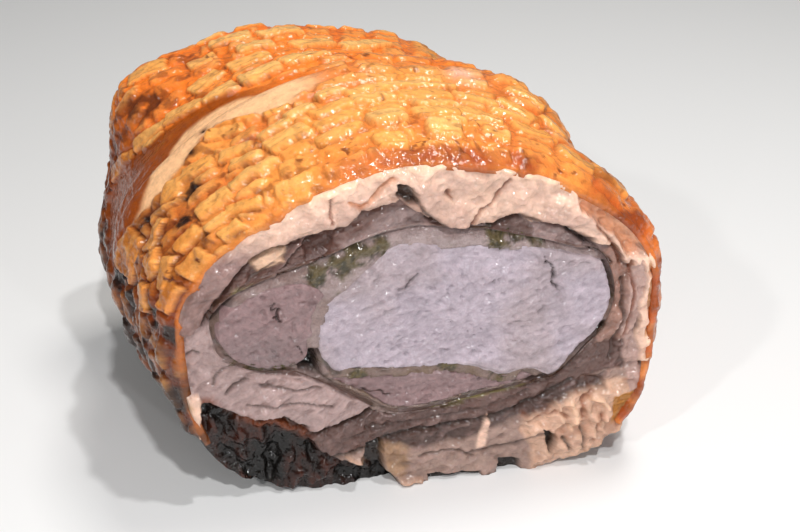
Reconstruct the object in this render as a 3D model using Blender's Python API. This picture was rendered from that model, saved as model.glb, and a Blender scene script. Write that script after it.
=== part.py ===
"""A rolled roast: pork belly with its scored crackling, wrapped round a loin, cut at the front.

The roll lies along Y with its cut face towards -Y, and rests on its flattened underside.
Every piece is drawn on the cut face, as U across and V up, and runs back through the roll
along S. One mapping, place(), turns (U, V, S) into the roll's bulged and grooved form, so
that neighbouring pieces keep their gap from end to end.
"""
import math

import bmesh
import bpy
import numpy as np
from mathutils.geometry import delaunay_2d_cdt

# Driving dimensions, in millimetres
MM = 0.001
HALF_WIDTH = 91.5
TOP_HEIGHT = 73.0
UNDER_DEPTH = 75.0
CENTRE_U = 1.5
CENTRE_V = 73.0
LENGTH = 168.0
REAR_ROUND = 16.0
REAR_DOME = 5.0
GAP = 0.5
SHARPEST_MITRE = 0.35
FACE_STEP = 7.0
MEAT_STEP = 10.0
EDGE_DROP = 0.6

# The knife crossed the roll at a slant, in degrees
CUT_SLANT = 13.0

# How square the section is at its four corners, by the corner's direction in degrees
SQUARENESS = {45: 2.0, 135: 1.85, 225: 3.2, 315: 3.6}

# How wide the roll is behind the face, as a share of its width there; farther back it follows the string
GIRTH = {
    0: 1.0, 10: 1.035, 24: 1.066, 55: 1.08, 72: 1.106, 82: 1.074, 92: 1.042, 112: 1.031, 142: 1.028,
    168: 1.02,
}
STRAIGHT_END = 40.0

# Swells and hollows: each one's direction and spread in degrees, where it starts and ends, and its share
SWELLS = [
    (41, 14, 30, 95, 0.087), (20, 14, 25, 90, -0.074), (72, 30, 95, 250, -0.10), (142, 13, 110, 250, 0.10),
    (169, 20, 85, 250, -0.10), (209, 24, -6, 75, -0.085),
]
SWELL_RUN = 28.0
LEAN_SPREAD = 30.0

# The groove that the string left
STRING_AT = 82.0
STRING_LEAN = 9.0
STRING_DEPTH = 2.6
STRING_WIDTH = 7.0

# The crackling's tiles, left standing between the scores
TILE_ACROSS = 18.0
TILE_ALONG = 8.6
REAR_TILE_ALONG = 10.4
TILE_RISE = 2.3
TILE_SHOULDERS = (0.2, 0.84)
BLISTERED_SHARE = 0.07
FIRST_TILE_DEG = 216.0
LAST_TILE_DEG = -24.0
UNDERSIDE_STEP = 13.0
TILE_SEED = 7

# Outlines on the cut face, as (U, V) points that a closed curve passes through
LOIN = [
    (73.3, 80), (71, 92), (66, 99.3), (57, 102.5), (45, 106.6), (29, 109.5), (18, 112), (8, 111.6),
    (-2.6, 114), (-11, 112.4), (-18, 105), (-26, 98.5), (-33, 92), (-37, 83), (-37.6, 72), (-33, 61.6),
    (-20, 59.6), (0, 57.9), (17, 57.1), (26, 53.2), (33, 50.4), (42, 52.6), (51, 48.4), (56, 52),
    (62.5, 61), (70, 70),
]
FLANK = [
    (-40.4, 84), (-38, 92), (-36.4, 98), (-45.6, 101.8), (-59.6, 98.4), (-67, 94.6), (-73, 88), (-73.4, 80),
    (-70.4, 73), (-62, 66.4), (-50, 65), (-43, 69.5), (-41.2, 76),
]
STRIP = [
    (47.6, 47.3), (42, 50.2), (33, 48), (24.5, 51.4), (16, 55), (0, 55.9), (-20, 57.7), (-35.4, 58.6),
    (-31, 54), (-21.5, 47.4), (-12.5, 40.3), (0, 38.7), (16.5, 41.8), (34, 44.4),
]
CAVITY = [
    (75.7, 80), (73.4, 92.6), (68, 101.8), (58, 105), (47, 109.4), (37, 112.4), (27, 115.6), (18, 117),
    (3.5, 119.8), (-9, 119.3), (-21.6, 116), (-34, 110.6), (-49, 105.4), (-61, 101.4), (-69, 97.4),
    (-76, 89.6), (-76, 80), (-73.2, 71.4), (-62, 63.7), (-48, 61.9), (-38.5, 56.2), (-22.6, 44.8),
    (-13.5, 38), (0, 36.3), (17, 39.4), (34, 42), (48, 44.4), (55, 46.4), (65, 58), (72.5, 67.5),
]
SEAM = [(-13, 39.4), (-22, 36.6), (-30, 33.6), (-44, 28), (-51, 23.5), (-57, 14), (-62, -9)]
SEAM_WIDTH = 0.9
CURVE_STEP = 7.0
RUN_STATIONS = [0.0, 25.0, 82.0, 130.0, LENGTH]
TUNNEL_OVERRUN = 30.0

# The fat cap's lower edge, below which the lean is set back
CAP_EDGE = [
    (-95, 74), (-83, 96), (-70, 106), (-51, 117.5), (-35, 121.5), (-25.5, 124), (-14, 129.5),
    (3.5, 123), (18, 117.5), (44, 117.5), (64, 107.5), (79, 93), (83, 79), (84, 20),
]
CAP_RISE = 1.6
LEAN_DROP = 2.4

# The charred corner under the outer end of the belly, set back from the cut
CHAR_EDGE = [(-97, 55), (-72, 45.5), (-53, 39.5), (-50, 23), (-34, 16.5), (-15, 10), (-6, -4)]
CHAR_DROP = 7.0

# The wet line between the belly's inner end and the layer under it
BAND_LINE = [(-46, 20.5), (-34, 17.6), (-23, 20), (-13.6, 23.9), (8, 26.6), (32.8, 30), (52, 37), (66, 46)]
BAND_GROOVE = 2.2
BAND_GROOVE_WIDTH = 2.0
LINE_STEP = 6.0
LINE_SIDE = 1.3
CORE_SHARE = 0.8

# Torn strands, as (U, V) of the root, then how far the tip reaches across, forward and down, and the width
SHREDS = [
    (52, 12, 4, 7, 4, 4.0), (57, 17, 6, 9, 5, 4.4), (61, 11, 5, 8, 5, 4.0), (66, 21, 7, 9, 6, 4.6),
    (69, 13, 6, 7, 6, 4.2), (73, 27, 7, 8, 8, 4.4), (78, 21, 5, 7, 8, 4.0), (79, 33, 5, 6, 9, 3.6),
    (26, 19, 1, 5, 9, 3.2), (-86, 55, 1, 3, 19, 5.0), (-64, 37, 2, 5, 14, 7.0), (-58, 33, 3, 6, 16, 6.0),
    (-44, 20, 3, 7, 12, 6.5), (-31, 15, 5, 7, 9, 6.0), (-70, 40, -4, 5, 18, 7.0),
]
STRAND_THICKNESS = 0.45
STRAND_ROOT = 4.0
STRAND_TURN = 0.5
STRAND_BOW = 0.18

COLOURS = {
    "belly_wrap": (0.62, 0.25, 0.07),
    "loin": (0.50, 0.42, 0.42),
    "loin_flank": (0.34, 0.24, 0.23),
    "under_strip": (0.29, 0.19, 0.18),
    "herb_filling": (0.10, 0.09, 0.05),
}


def eased(part):
    """Runs from 0 to 1 with level ends."""
    part = np.clip(part, 0.0, 1.0)
    return part * part * (3.0 - 2.0 * part)


def between(table, at, period=None):
    """Reads a table of {position: value} at any position, eased from one entry to the next."""
    keys = np.array(sorted(table), float)
    values = np.array([table[key] for key in sorted(table)], float)
    at = np.asarray(at, float)
    if period:
        at = at % period
        keys = np.concatenate([keys - period, keys, keys + period])
        values = np.tile(values, 3)
    index = np.clip(np.searchsorted(keys, at, side="right") - 1, 0, len(keys) - 2)
    part = eased((at - keys[index]) / (keys[index + 1] - keys[index]))
    return values[index] * (1 - part) + values[index + 1] * part


def rim_radius(angle):
    """The section's radius by direction: a superellipse whose exponent changes from corner to corner."""
    power = between(SQUARENESS, np.degrees(angle), 360.0)
    height = np.where(np.sin(angle) > 0, TOP_HEIGHT, UNDER_DEPTH)
    across = np.abs(np.cos(angle)) / HALF_WIDTH
    up = np.abs(np.sin(angle)) / height
    return 1.0 / (across**power + up**power) ** (1.0 / power)


def toward(angle, direction, spread):
    """1 in one direction, in degrees, falling to 0 away from it."""
    apart = (np.degrees(angle) - direction + 180.0) % 360.0 - 180.0
    return np.exp(-((apart / spread) ** 2))


def string_line(angle):
    """Where the string ran: nearer the face on the left side."""
    return STRING_AT - STRING_LEAN * toward(angle, 180.0, LEAN_SPREAD)


def place(u, v, s, on_floor=True):
    """The roll's point for a face position and a distance behind the face, in millimetres."""
    u, v, s = np.broadcast_arrays(np.asarray(u, float), v, s)
    across, up = u - CENTRE_U, v - CENTRE_V
    angle = np.arctan2(up, across)
    radius = np.hypot(across, up)
    share = radius / rim_radius(angle)
    along = s + STRING_AT - string_line(angle)
    girth = between(GIRTH, np.where(s < STRAIGHT_END, s, along))
    for direction, spread, start, end, amount in SWELLS:
        here = eased((s - start) / SWELL_RUN) * (1.0 - eased((s - end) / SWELL_RUN))
        girth = girth + amount * toward(angle, direction, spread) * here
    groove = STRING_DEPTH * np.exp(-(((s - string_line(angle)) / STRING_WIDTH) ** 2)) * share**3
    turn = np.clip((s - (LENGTH - REAR_ROUND)) / REAR_ROUND, 0.0, 1.0)
    rounded = REAR_ROUND * (1.0 - np.sqrt(1.0 - turn**2)) * share**3
    radius = radius * girth - groove - rounded
    x = CENTRE_U + radius * np.cos(angle)
    z = CENTRE_V + radius * np.sin(angle)
    if on_floor:
        z = np.maximum(z, 0.0)
    slant = (1.0 - s / LENGTH) * u * math.tan(math.radians(CUT_SLANT))
    dome = REAR_DOME * np.clip(s / LENGTH, 0, 1) ** 3 * (1.0 - np.clip(share, 0, 1) ** 2)
    return np.stack([x, s - slant + dome, z], -1)


def closed_curve(points, step):
    """A smooth closed curve through the points, sampled about every step: four-point splines."""
    points = np.array(points, float)
    before, after, later = np.roll(points, 1, 0), np.roll(points, -1, 0), np.roll(points, -2, 0)
    samples = []
    for p, q, r, t in zip(before, points, after, later):
        count = max(1, int(round(np.hypot(*(r - q)) / step)))
        for part in np.arange(count) / count:
            bend = (2 * p - 5 * q + 4 * r - t) * part**2 + (3 * (q - r) + t - p) * part**3
            samples.append(0.5 * (2 * q + (r - p) * part + bend))
    return np.array(samples)


def grown(outline, by):
    """A closed outline, listed anticlockwise, moved outwards by a distance, its corners mitred."""
    run = np.roll(outline, -1, 0) - outline
    run = run / np.hypot(run[:, 0], run[:, 1])[:, None]
    leaving = np.stack([run[:, 1], -run[:, 0]], -1)
    arriving = np.roll(leaving, 1, 0)
    spread = np.maximum(1.0 + (leaving * arriving).sum(1), SHARPEST_MITRE)
    return outline + by * (leaving + arriving) / spread[:, None]


def above_line(u, v, line):
    """How far V lies above a line of (U, V) points, at each U."""
    line = np.array(line, float)
    order = np.argsort(line[:, 0])
    return v - np.interp(u, line[order, 0], line[order, 1])


def face_relief(u, v):
    """How far the belly's cut face stands forward: a swollen fat cap, the lean set back, a charred corner."""
    cap = eased(above_line(u, v, CAP_EDGE) / 2.4 + 0.5)
    relief = (CAP_RISE + LEAN_DROP) * cap - LEAN_DROP
    fibres = 0.7 * np.sin(0.55 * u + 0.3 * v) * np.cos(0.31 * v - 0.2 * u)
    charred = eased(-above_line(u, v, CHAR_EDGE) / 3.0 + 0.5) * (u < CHAR_EDGE[-1][0])
    band = BAND_GROOVE * np.exp(-((above_line(u, v, BAND_LINE) / BAND_GROOVE_WIDTH) ** 2))
    along_band = (u > BAND_LINE[0][0]) & (u < BAND_LINE[-1][0])
    return relief + fibres - CHAR_DROP * charred - band * along_band


def smooth_face(u, v):
    """A face with only slow swells."""
    return 0.8 * np.sin(0.09 * u + 1.0) * np.cos(0.11 * v)


def sunken_face(u, v):
    """The filling's face: drawn back between the meats, deepest in the pocket beside the loin."""
    pocket = np.exp(-(((u + 42.0) / 6.0) ** 2) - ((v - 65.0) / 6.0) ** 2)
    return -2.5 - 9.0 * pocket + 0.6 * np.sin(0.5 * u) * np.cos(0.4 * v)


def cap_triangles(outline, inner):
    """Triangles over an outline and the points inside it, as indices into outline then inner."""
    count = len(outline)
    points = [tuple(point) for point in np.concatenate([outline, inner])]
    ring = [(index, (index + 1) % count) for index in range(count)]
    _, _, faces, origins, _, _ = delaunay_2d_cdt(points, ring, [], 1, 1e-6)
    return [[origins[corner][0] for corner in face] for face in faces]


def points_inside(outline, spacing, margin):
    """A staggered grid of points inside an outline, clear of it by a margin."""
    low, high = outline.min(0), outline.max(0)
    rows = np.arange(low[1], high[1], spacing * math.sqrt(0.75))
    found = []
    ends = np.roll(outline, -1, 0)
    for number, v in enumerate(rows):
        for u in np.arange(low[0] + (number % 2) * spacing / 2, high[0], spacing):
            run = ends - outline
            along = ((u - outline[:, 0]) * run[:, 0] + (v - outline[:, 1]) * run[:, 1]) / (run**2).sum(1)
            nearest = outline + np.clip(along, 0, 1)[:, None] * run
            gap = np.hypot(nearest[:, 0] - u, nearest[:, 1] - v).min()
            if gap > margin and within((u, v), outline):
                found.append((u, v))
    return np.array(found).reshape(-1, 2)


def beside_lines(lines):
    """Points on both sides of each line, so that the face's mesh folds along it."""
    found = []
    for line in lines:
        for (u, v), (next_u, next_v) in zip(line, line[1:]):
            length = math.hypot(next_u - u, next_v - v)
            side = np.array([next_v - v, u - next_u]) * LINE_SIDE / length
            for part in np.arange(0.0, 1.0, LINE_STEP / length):
                middle = np.array([u + part * (next_u - u), v + part * (next_v - v)])
                found += [middle + side, middle - side]
    return np.array(found)


def within(point, outline):
    """Whether a point lies inside an outline."""
    ends = np.roll(outline, -1, 0)
    crossed = (outline[:, 1] > point[1]) != (ends[:, 1] > point[1])
    rise = np.where(crossed, ends[:, 1] - outline[:, 1], 1.0)
    where = outline[:, 0] + (point[1] - outline[:, 1]) / rise * (ends[:, 0] - outline[:, 0])
    return np.count_nonzero(crossed & (where > point[0])) % 2 == 1


def new_mesh_object(name, points, faces, folder):
    """Puts points, in millimetres, and faces into an object of the given collection."""
    mesh = bpy.data.meshes.new(name)
    mesh.from_pydata([tuple(point) for point in np.asarray(points) * MM], [], faces)
    shell = bmesh.new()
    shell.from_mesh(mesh)
    bmesh.ops.recalc_face_normals(shell, faces=shell.faces)
    bmesh.ops.triangulate(shell, faces=shell.faces)
    shell.to_mesh(mesh)
    shell.free()
    piece = bpy.data.objects.new(name, mesh)
    folder.objects.link(piece)
    return piece


def run_through(name, outline, rings, inner, rear_inner, relief, folder):
    """A closed solid: rings of points from front to rear, with a cap of triangles at each end.

    rings has the shape (stations, points, 3). The front cap's inner points stand forward by
    relief(u, v), and the rear cap's follow the roll's dome.
    """
    stations, count = rings.shape[:2]
    points = [rings.reshape(-1, 3)]
    faces = []
    for row in range(stations - 1):
        for column in range(count):
            after = (column + 1) % count
            here, there = row * count, (row + 1) * count
            faces.append((here + column, here + after, there + after, there + column))
    front = place(inner[:, 0], inner[:, 1], 0.0)
    front[:, 1] -= relief(inner[:, 0], inner[:, 1])
    rear = place(rear_inner[:, 0], rear_inner[:, 1], LENGTH)
    points += [front, rear]
    last_ring, first_front = (stations - 1) * count, stations * count
    first_rear = first_front + len(inner)
    for face in cap_triangles(outline, inner):
        faces.append([corner if corner < count else first_front + corner - count for corner in face])
    for face in cap_triangles(outline, rear_inner):
        faces.append([corner + (last_ring if corner < count else first_rear - count) for corner in face])
    return new_mesh_object(name, np.concatenate(points), faces, folder)


def meat_piece(name, outline, relief, folder, spacing=MEAT_STEP):
    """A muscle or a filling that runs through the roll, with its face's edge eased back."""
    rings = np.stack([place(outline[:, 0], outline[:, 1], s) for s in RUN_STATIONS])
    rings[0, :, 1] -= relief(outline[:, 0], outline[:, 1]) - EDGE_DROP
    inner = points_inside(outline, spacing, spacing / 2)
    rear_inner = points_inside(outline, 2 * spacing, spacing / 2)
    return run_through(name, outline, rings, inner, rear_inner, relief, folder)


def tunnel(name, outline, folder):
    """A cutter that runs right through the roll and out at both ends."""
    distances = [-TUNNEL_OVERRUN, *RUN_STATIONS, LENGTH + TUNNEL_OVERRUN]
    rings = np.stack([place(outline[:, 0], outline[:, 1], s, on_floor=False) for s in distances])
    count = len(outline)
    faces = [list(range(count)), [(len(distances) - 1) * count + index for index in range(count)]]
    for row in range(len(distances) - 1):
        for column in range(count):
            after = (column + 1) % count
            here, there = row * count, (row + 1) * count
            faces.append((here + column, here + after, there + after, there + column))
    cutter = new_mesh_object(name, rings.reshape(-1, 3), faces, folder)
    cutter.hide_render = True
    cutter.display_type = "WIRE"
    return cutter


def change(piece, other, operation, solver="EXACT"):
    """Applies one Boolean, with an object or a whole collection, and keeps the result as the piece's mesh."""
    modifier = piece.modifiers.new(operation.lower(), "BOOLEAN")
    modifier.operation = operation
    modifier.solver = solver
    if isinstance(other, bpy.types.Collection):
        modifier.operand_type = "COLLECTION"
        modifier.collection = other
    else:
        modifier.object = other
    bpy.context.view_layer.update()
    seen = piece.evaluated_get(bpy.context.evaluated_depsgraph_get())
    mesh = bpy.data.meshes.new_from_object(seen)
    piece.modifiers.clear()
    piece.data = mesh


def seam_outline():
    """The narrow gap where the belly's two ends meet, from the cavity to the outside."""
    line = np.array(SEAM, float)
    run = np.gradient(line, axis=0)
    run = run / np.hypot(run[:, 0], run[:, 1])[:, None]
    side = 0.5 * SEAM_WIDTH * np.stack([-run[:, 1], run[:, 0]], -1)
    return np.concatenate([line + side, (line - side)[::-1]])


def skin_columns():
    """Directions round the section, and each one's place in its tile: 0 in a score, 1 on the tile."""
    fine = np.radians(np.linspace(LAST_TILE_DEG, LAST_TILE_DEG + 360.0, 2000))
    radius = rim_radius(fine)
    steps = np.hypot(np.diff(radius * np.cos(fine)), np.diff(radius * np.sin(fine)))
    walked = np.concatenate([[0.0], np.cumsum(steps)])
    tiled = np.interp(math.radians(FIRST_TILE_DEG), fine, walked)
    tiles = int(round(tiled * max(GIRTH.values()) / TILE_ACROSS))
    width = tiled / tiles
    starts = np.arange(tiles) * width
    near, far = TILE_SHOULDERS
    places = np.concatenate([starts, starts + near * width, starts + far * width, [tiled]])
    raised = np.concatenate([np.zeros(tiles), np.ones(tiles), np.ones(tiles), [0.0]])
    number = np.concatenate([np.tile(np.arange(tiles), 3), [0]])
    under = np.arange(tiled, walked[-1], UNDERSIDE_STEP)[1:]
    order = np.argsort(places)
    places = np.concatenate([places[order], under])
    raised = np.concatenate([raised[order], np.zeros(len(under))])
    number = np.concatenate([number[order], np.zeros(len(under), int)])
    return np.interp(places, walked, fine), raised, number


def skin_rows():
    """Distances behind the face, and each one's place in its row of tiles: 0 in a score, 1 on the tile."""
    front = np.arange(0.0, STRING_AT - 6.0, TILE_ALONG / 2)
    string = np.array([STRING_AT - 2.0, STRING_AT + 3.0])
    rear = np.arange(STRING_AT + 8.0, LENGTH - REAR_ROUND, REAR_TILE_ALONG / 2)
    turned = LENGTH - REAR_ROUND + REAR_ROUND * np.sin(np.radians([25.0, 50.0, 75.0, 90.0]))
    rows = np.concatenate([front, string, rear, turned])
    raised = np.concatenate([
        np.arange(len(front)) % 2, np.zeros(2), np.arange(len(rear)) % 2, [0.5, 0.2, 0.0, 0.0]
    ])
    return rows, raised.astype(float)


def crackling_rise(raised_round, number, raised_along):
    """Each tile's height: uneven, with some blistered flat, as shown beside the string and the cut."""
    draw = np.random.default_rng(TILE_SEED)
    rows = len(raised_along)
    uneven = draw.uniform(0.65, 1.15, (rows, number.max() + 1))
    flat = draw.uniform(0.0, 1.0, uneven.shape) < BLISTERED_SHARE
    uneven[flat] = 0.15
    return TILE_RISE * raised_along[:, None] * raised_round[None, :] * uneven[:, number]


def face_points(outline):
    """The points that carry the belly's face: a grid, thinned where the layers' own lines run."""
    lines = beside_lines([CAP_EDGE, CHAR_EDGE, BAND_LINE])
    inside = points_inside(outline, FACE_STEP, FACE_STEP / 2)
    hollow = np.array(CAVITY, float)
    middle = hollow.mean(0)
    core = middle + CORE_SHARE * (hollow - middle)
    kept = [
        point for point in inside
        if np.hypot(*(lines - point).T).min() > FACE_STEP / 2 and not within(point, core)
    ]
    edge_gap = [np.hypot(*(outline - point).T).min() for point in lines]
    span = np.hypot((lines[:, 0] - CENTRE_U), (lines[:, 1] - CENTRE_V))
    angle = np.arctan2(lines[:, 1] - CENTRE_V, lines[:, 0] - CENTRE_U)
    clear = (np.array(edge_gap) > LINE_SIDE * 2) & (span < rim_radius(angle) - LINE_SIDE * 2)
    return np.concatenate([np.array(kept), lines[clear]])


def strand(number, u, v, across, forward, down, width, folder):
    """A torn strand: a flat strip that narrows to a point as it bends forward and down from its root."""
    root = place(u, v, 0.0, on_floor=False)
    root[1] -= float(face_relief(np.array(u, float), np.array(v, float)))
    reach = np.array([across, -forward - STRAND_ROOT, -down], float)
    level = np.cross(reach, [0.0, 0.0, 1.0])
    level /= np.linalg.norm(level)
    steep = np.cross(level, reach / np.linalg.norm(reach))
    turn = number * STRAND_TURN
    side = 0.5 * width * (math.cos(turn) * level + math.sin(turn) * steep)
    thick = 0.5 * STRAND_THICKNESS * width * (math.cos(turn) * steep - math.sin(turn) * level)
    points = []
    for part, share in ((0.0, 1.0), (0.4, 0.85), (0.75, 0.55)):
        sag = np.array([0.0, 0.0, STRAND_BOW * down * math.sin(math.pi * part)])
        middle = root + [0.0, STRAND_ROOT, 0.0] + reach * part + sag
        across_here, thick_here = side * share, thick * share
        points += [middle + across_here, middle + thick_here, middle - across_here, middle - thick_here]
    points.append(root + [0.0, STRAND_ROOT, 0.0] + reach)
    points = np.array(points)
    points[:, 2] = np.maximum(points[:, 2], GAP)
    faces = [(0, 1, 2, 3)]
    for row in (0, 4):
        for column in range(4):
            after = (column + 1) % 4
            faces.append((row + column, row + after, row + 4 + after, row + 4 + column))
    faces += [(8 + column, 8 + (column + 1) % 4, 12) for column in range(4)]
    return new_mesh_object("strand_{}".format(number), points, faces, folder)


def belly(folder, cutters):
    """The belly: skin, fat and lean in one slab, wrapped nearly all round and back under the loin."""
    angle, raised_round, number = skin_columns()
    rows, raised_along = skin_rows()
    radius = rim_radius(angle)
    outline = np.stack([CENTRE_U + radius * np.cos(angle), CENTRE_V + radius * np.sin(angle)], -1)
    rise = crackling_rise(raised_round, number, raised_along)
    rings = []
    for row, s in enumerate(rows):
        ring = place(outline[:, 0], outline[:, 1], s)
        ring[:, 0] += rise[row] * np.cos(angle)
        ring[:, 2] = np.maximum(ring[:, 2] + rise[row] * np.sin(angle), 0.0)
        rings.append(ring)
    inner = face_points(outline)
    rear_inner = points_inside(outline, 2 * FACE_STEP, FACE_STEP)
    piece = run_through("belly_wrap", outline, np.stack(rings), inner, rear_inner, face_relief, folder)
    cavity = tunnel("cavity_cutter", closed_curve(CAVITY, CURVE_STEP), cutters)
    seam = tunnel("seam_cutter", seam_outline(), cutters)
    change(piece, cavity, "DIFFERENCE")
    change(piece, seam, "DIFFERENCE")
    strands = bpy.data.collections.new("strands")
    cutters.children.link(strands)
    for number, (u, v, across, forward, down, width) in enumerate(SHREDS):
        strand(number, u, v, across, forward, down, width, strands)
    change(piece, strands, "UNION", "MANIFOLD")
    for scrap in list(strands.objects):
        bpy.data.objects.remove(scrap)
    return piece


def filling(folder, cutters):
    """The herb filling: a web that fills the belly's hollow round the three meats."""
    outline = grown(closed_curve(CAVITY, CURVE_STEP), -GAP)
    web = meat_piece("herb_filling", outline, sunken_face, folder, spacing=1.4 * MEAT_STEP)
    for name, points in (("loin", LOIN), ("loin_flank", FLANK), ("under_strip", STRIP)):
        around = grown(closed_curve(points, CURVE_STEP), GAP)
        change(web, tunnel(name + "_cutter", around, cutters), "DIFFERENCE")
    return web


def give_material(piece):
    """A plain finish in the piece's own colour."""
    material = bpy.data.materials.new(piece.name)
    material.use_nodes = True
    shader = material.node_tree.nodes["Principled BSDF"]
    shader.inputs["Base Color"].default_value = (*COLOURS[piece.name], 1.0)
    shader.inputs["Roughness"].default_value = 0.45
    shader.inputs["Metallic"].default_value = 0.0
    piece.data.materials.clear()
    piece.data.materials.append(material)


def stand_at_origin(pieces):
    """Moves the roll so that the origin is under the middle of its box, on the floor."""
    corners = np.concatenate([np.array([vertex.co for vertex in piece.data.vertices]) for piece in pieces])
    low, high = corners.min(0), corners.max(0)
    middle = (low + high) / 2
    print("moved by", -middle[0], -middle[1], -low[2])
    for piece in pieces:
        piece.location = (-middle[0], -middle[1], -low[2])


for old in list(bpy.data.objects):
    bpy.data.objects.remove(old)
roast = bpy.data.collections.new("rolled_pork_roast")
cutters = bpy.data.collections.new("cutters")
bpy.context.scene.collection.children.link(roast)
bpy.context.scene.collection.children.link(cutters)
made = [
    belly(roast, cutters),
    meat_piece("loin", closed_curve(LOIN, CURVE_STEP), smooth_face, roast),
    meat_piece("loin_flank", closed_curve(FLANK, CURVE_STEP), smooth_face, roast),
    meat_piece("under_strip", closed_curve(STRIP, CURVE_STEP), smooth_face, roast),
    filling(roast, cutters),
]
for piece in made:
    give_material(piece)
stand_at_origin(made)
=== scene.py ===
import math

import bpy
import numpy as np
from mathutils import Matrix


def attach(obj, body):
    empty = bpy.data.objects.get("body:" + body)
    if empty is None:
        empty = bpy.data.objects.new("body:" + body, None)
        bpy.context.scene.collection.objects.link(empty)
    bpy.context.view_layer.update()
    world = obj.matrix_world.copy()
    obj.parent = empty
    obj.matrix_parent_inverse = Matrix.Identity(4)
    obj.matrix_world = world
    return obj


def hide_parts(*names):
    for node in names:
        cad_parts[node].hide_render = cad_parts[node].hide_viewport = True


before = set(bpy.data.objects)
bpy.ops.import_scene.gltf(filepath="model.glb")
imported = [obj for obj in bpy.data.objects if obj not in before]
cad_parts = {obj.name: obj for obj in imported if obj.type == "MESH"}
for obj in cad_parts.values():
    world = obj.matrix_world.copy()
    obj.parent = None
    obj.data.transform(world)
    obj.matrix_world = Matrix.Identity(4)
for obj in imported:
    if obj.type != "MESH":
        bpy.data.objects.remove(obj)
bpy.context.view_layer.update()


# The crackling: the belly's scored rind, roasted until the oblongs between the scores puffed up into
# hard golden loaves with sticky orange skin between them. It is one sheet of skin round the roll,
# modelled in two lengths that meet under the string's groove, and it grew on the fat below it.
MM = 0.001
FRAME_ORIGIN = np.array([2.025, 74.868, 0.0])
HALF_WIDTH = 91.5
TOP_HEIGHT = 73.0
UNDER_DEPTH = 75.0
CENTRE_U = 1.5
CENTRE_V = 73.0
LENGTH = 168.0
REAR_ROUND = 16.0
REAR_DOME = 5.0
CUT_SLANT = 13.0
SQUARENESS = {45: 2.0, 135: 1.85, 225: 3.2, 315: 3.6}
GIRTH = {
    0: 1.0, 10: 1.035, 24: 1.066, 55: 1.08, 72: 1.106, 82: 1.074, 92: 1.042, 112: 1.031, 142: 1.028,
    168: 1.02,
}
STRAIGHT_END = 40.0
SWELLS = [
    (41, 14, 30, 95, 0.087), (20, 14, 25, 90, -0.074), (72, 30, 95, 250, -0.10), (142, 13, 110, 250, 0.10),
    (169, 20, 85, 250, -0.10), (209, 24, -6, 75, -0.085),
]
SWELL_RUN = 28.0
LEAN_SPREAD = 30.0
STRING_AT = 82.0
STRING_LEAN = 9.0
STRING_DEPTH = 2.6
STRING_WIDTH = 7.0
SKIN_FROM_DEG = -34.0
SKIN_TO_DEG = 206.0
SKIN_STEP = 0.66
SKIN_THICKNESS = 3.5
SKIN_FEATHER_DEG = 6.0
HALVES_MEET = 80.0
LOAF_RISE = 2.2
RIND_STANDS = 0.9
LOAF_ACROSS = 17.0
LOAF_ALONG = 8.8
REAR_LOAF_ALONG = 10.4
LOAF_CORNER = 0.36
MM_PER_DEG = 1.5
BARE_FROM = {
    87: 74, 95: 68, 106: 62, 111: 59, 118: 60, 123: 64, 129: 68, 138: 64, 144: 60, 150: 56, 160: 57, 176: 64,
    200: 70, 216: 76,
}
BARE_TO = {
    87: 92, 101: 87, 112: 88, 120: 92, 130: 97, 142: 104, 148: 106, 156: 118, 167: 134, 176: 142, 190: 128,
    216: 104,
}
PALE_TO = {96: 72, 105: 74, 114: 80, 120: 86, 126: 89, 138: 88, 144: 82, 150: 67, 156: 57, 170: 50}
LOAVES = [
    (167, 6, 161, 6, 8), (157, 4, 151, 5, 9), (145, 5, 140, 5, 5), (171, 20, 166, 22, 7),
    (162, 19, 159, 27, 7), (163, 11, 157, 16, 6), (159, 32, 153, 37, 6), (154, 16, 148, 17, 7),
    (146, 13, 140, 13, 4), (140, 14, 133, 8, 5), (145, 22, 137, 22, 8), (135, 23, 129, 23, 6),
    (128, 22, 123, 23, 5), (149, 45, 146, 53, 8), (143, 52, 136, 48, 8), (133, 45, 126, 41, 7),
    (132, 36, 126, 31, 6), (122, 32, 112, 34, 10), (111, 23, 100, 25, 6), (109, 32, 98, 35, 6),
    (107, 41, 98, 43, 6), (122, 42, 115, 44, 5), (113, 46, 107, 48, 5), (132, 62, 125, 57, 5),
    (117, 56, 112, 55, 5), (98, 12, 92, 12, 10), (96, 26, 88, 27, 8), (94, 33, 86, 34, 5),
    (96, 43, 86, 44, 6), (96, 50, 87, 52, 6), (103, 53, 97, 55, 5), (86, 53, 74, 56, 5),
    (74, 55, 66, 55, 5), (83, 45, 70, 47, 8), (83, 29, 73, 31, 8), (81, 37, 71, 38, 5),
    (83, 18, 76, 16, 10), (70, 34, 61, 28, 8), (68, 18, 63, 16, 6), (71, 5, 66, 5, 5),
    (67, 47, 57, 45, 6), (60, 38, 51, 36, 5), (54, 49, 48, 41, 5), (56, 28, 46, 29, 8),
    (48, 61, 42, 53, 8), (43, 45, 39, 38, 6), (46, 20, 39, 15, 7), (36, 20, 27, 18, 7),
    (170, 48, 160, 48, 20),
    (128, 97, 119, 98, 10), (129, 115, 120, 119, 9), (140, 110, 130, 101, 8), (152, 118, 142, 110, 6),
    (151, 111, 144, 104, 5), (116, 98, 105, 99, 10), (102, 100, 89, 105, 11), (166, 139, 156, 118, 8),
    (125, 136, 118, 136, 8), (93, 125, 78, 134, 8), (74, 130, 56, 137, 7), (116, 117, 104, 117, 9),
    (140, 151, 131, 148, 11), (110, 131, 100, 130, 8), (116, 147, 104, 146, 8), (100, 143, 86, 146, 8),
]
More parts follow.
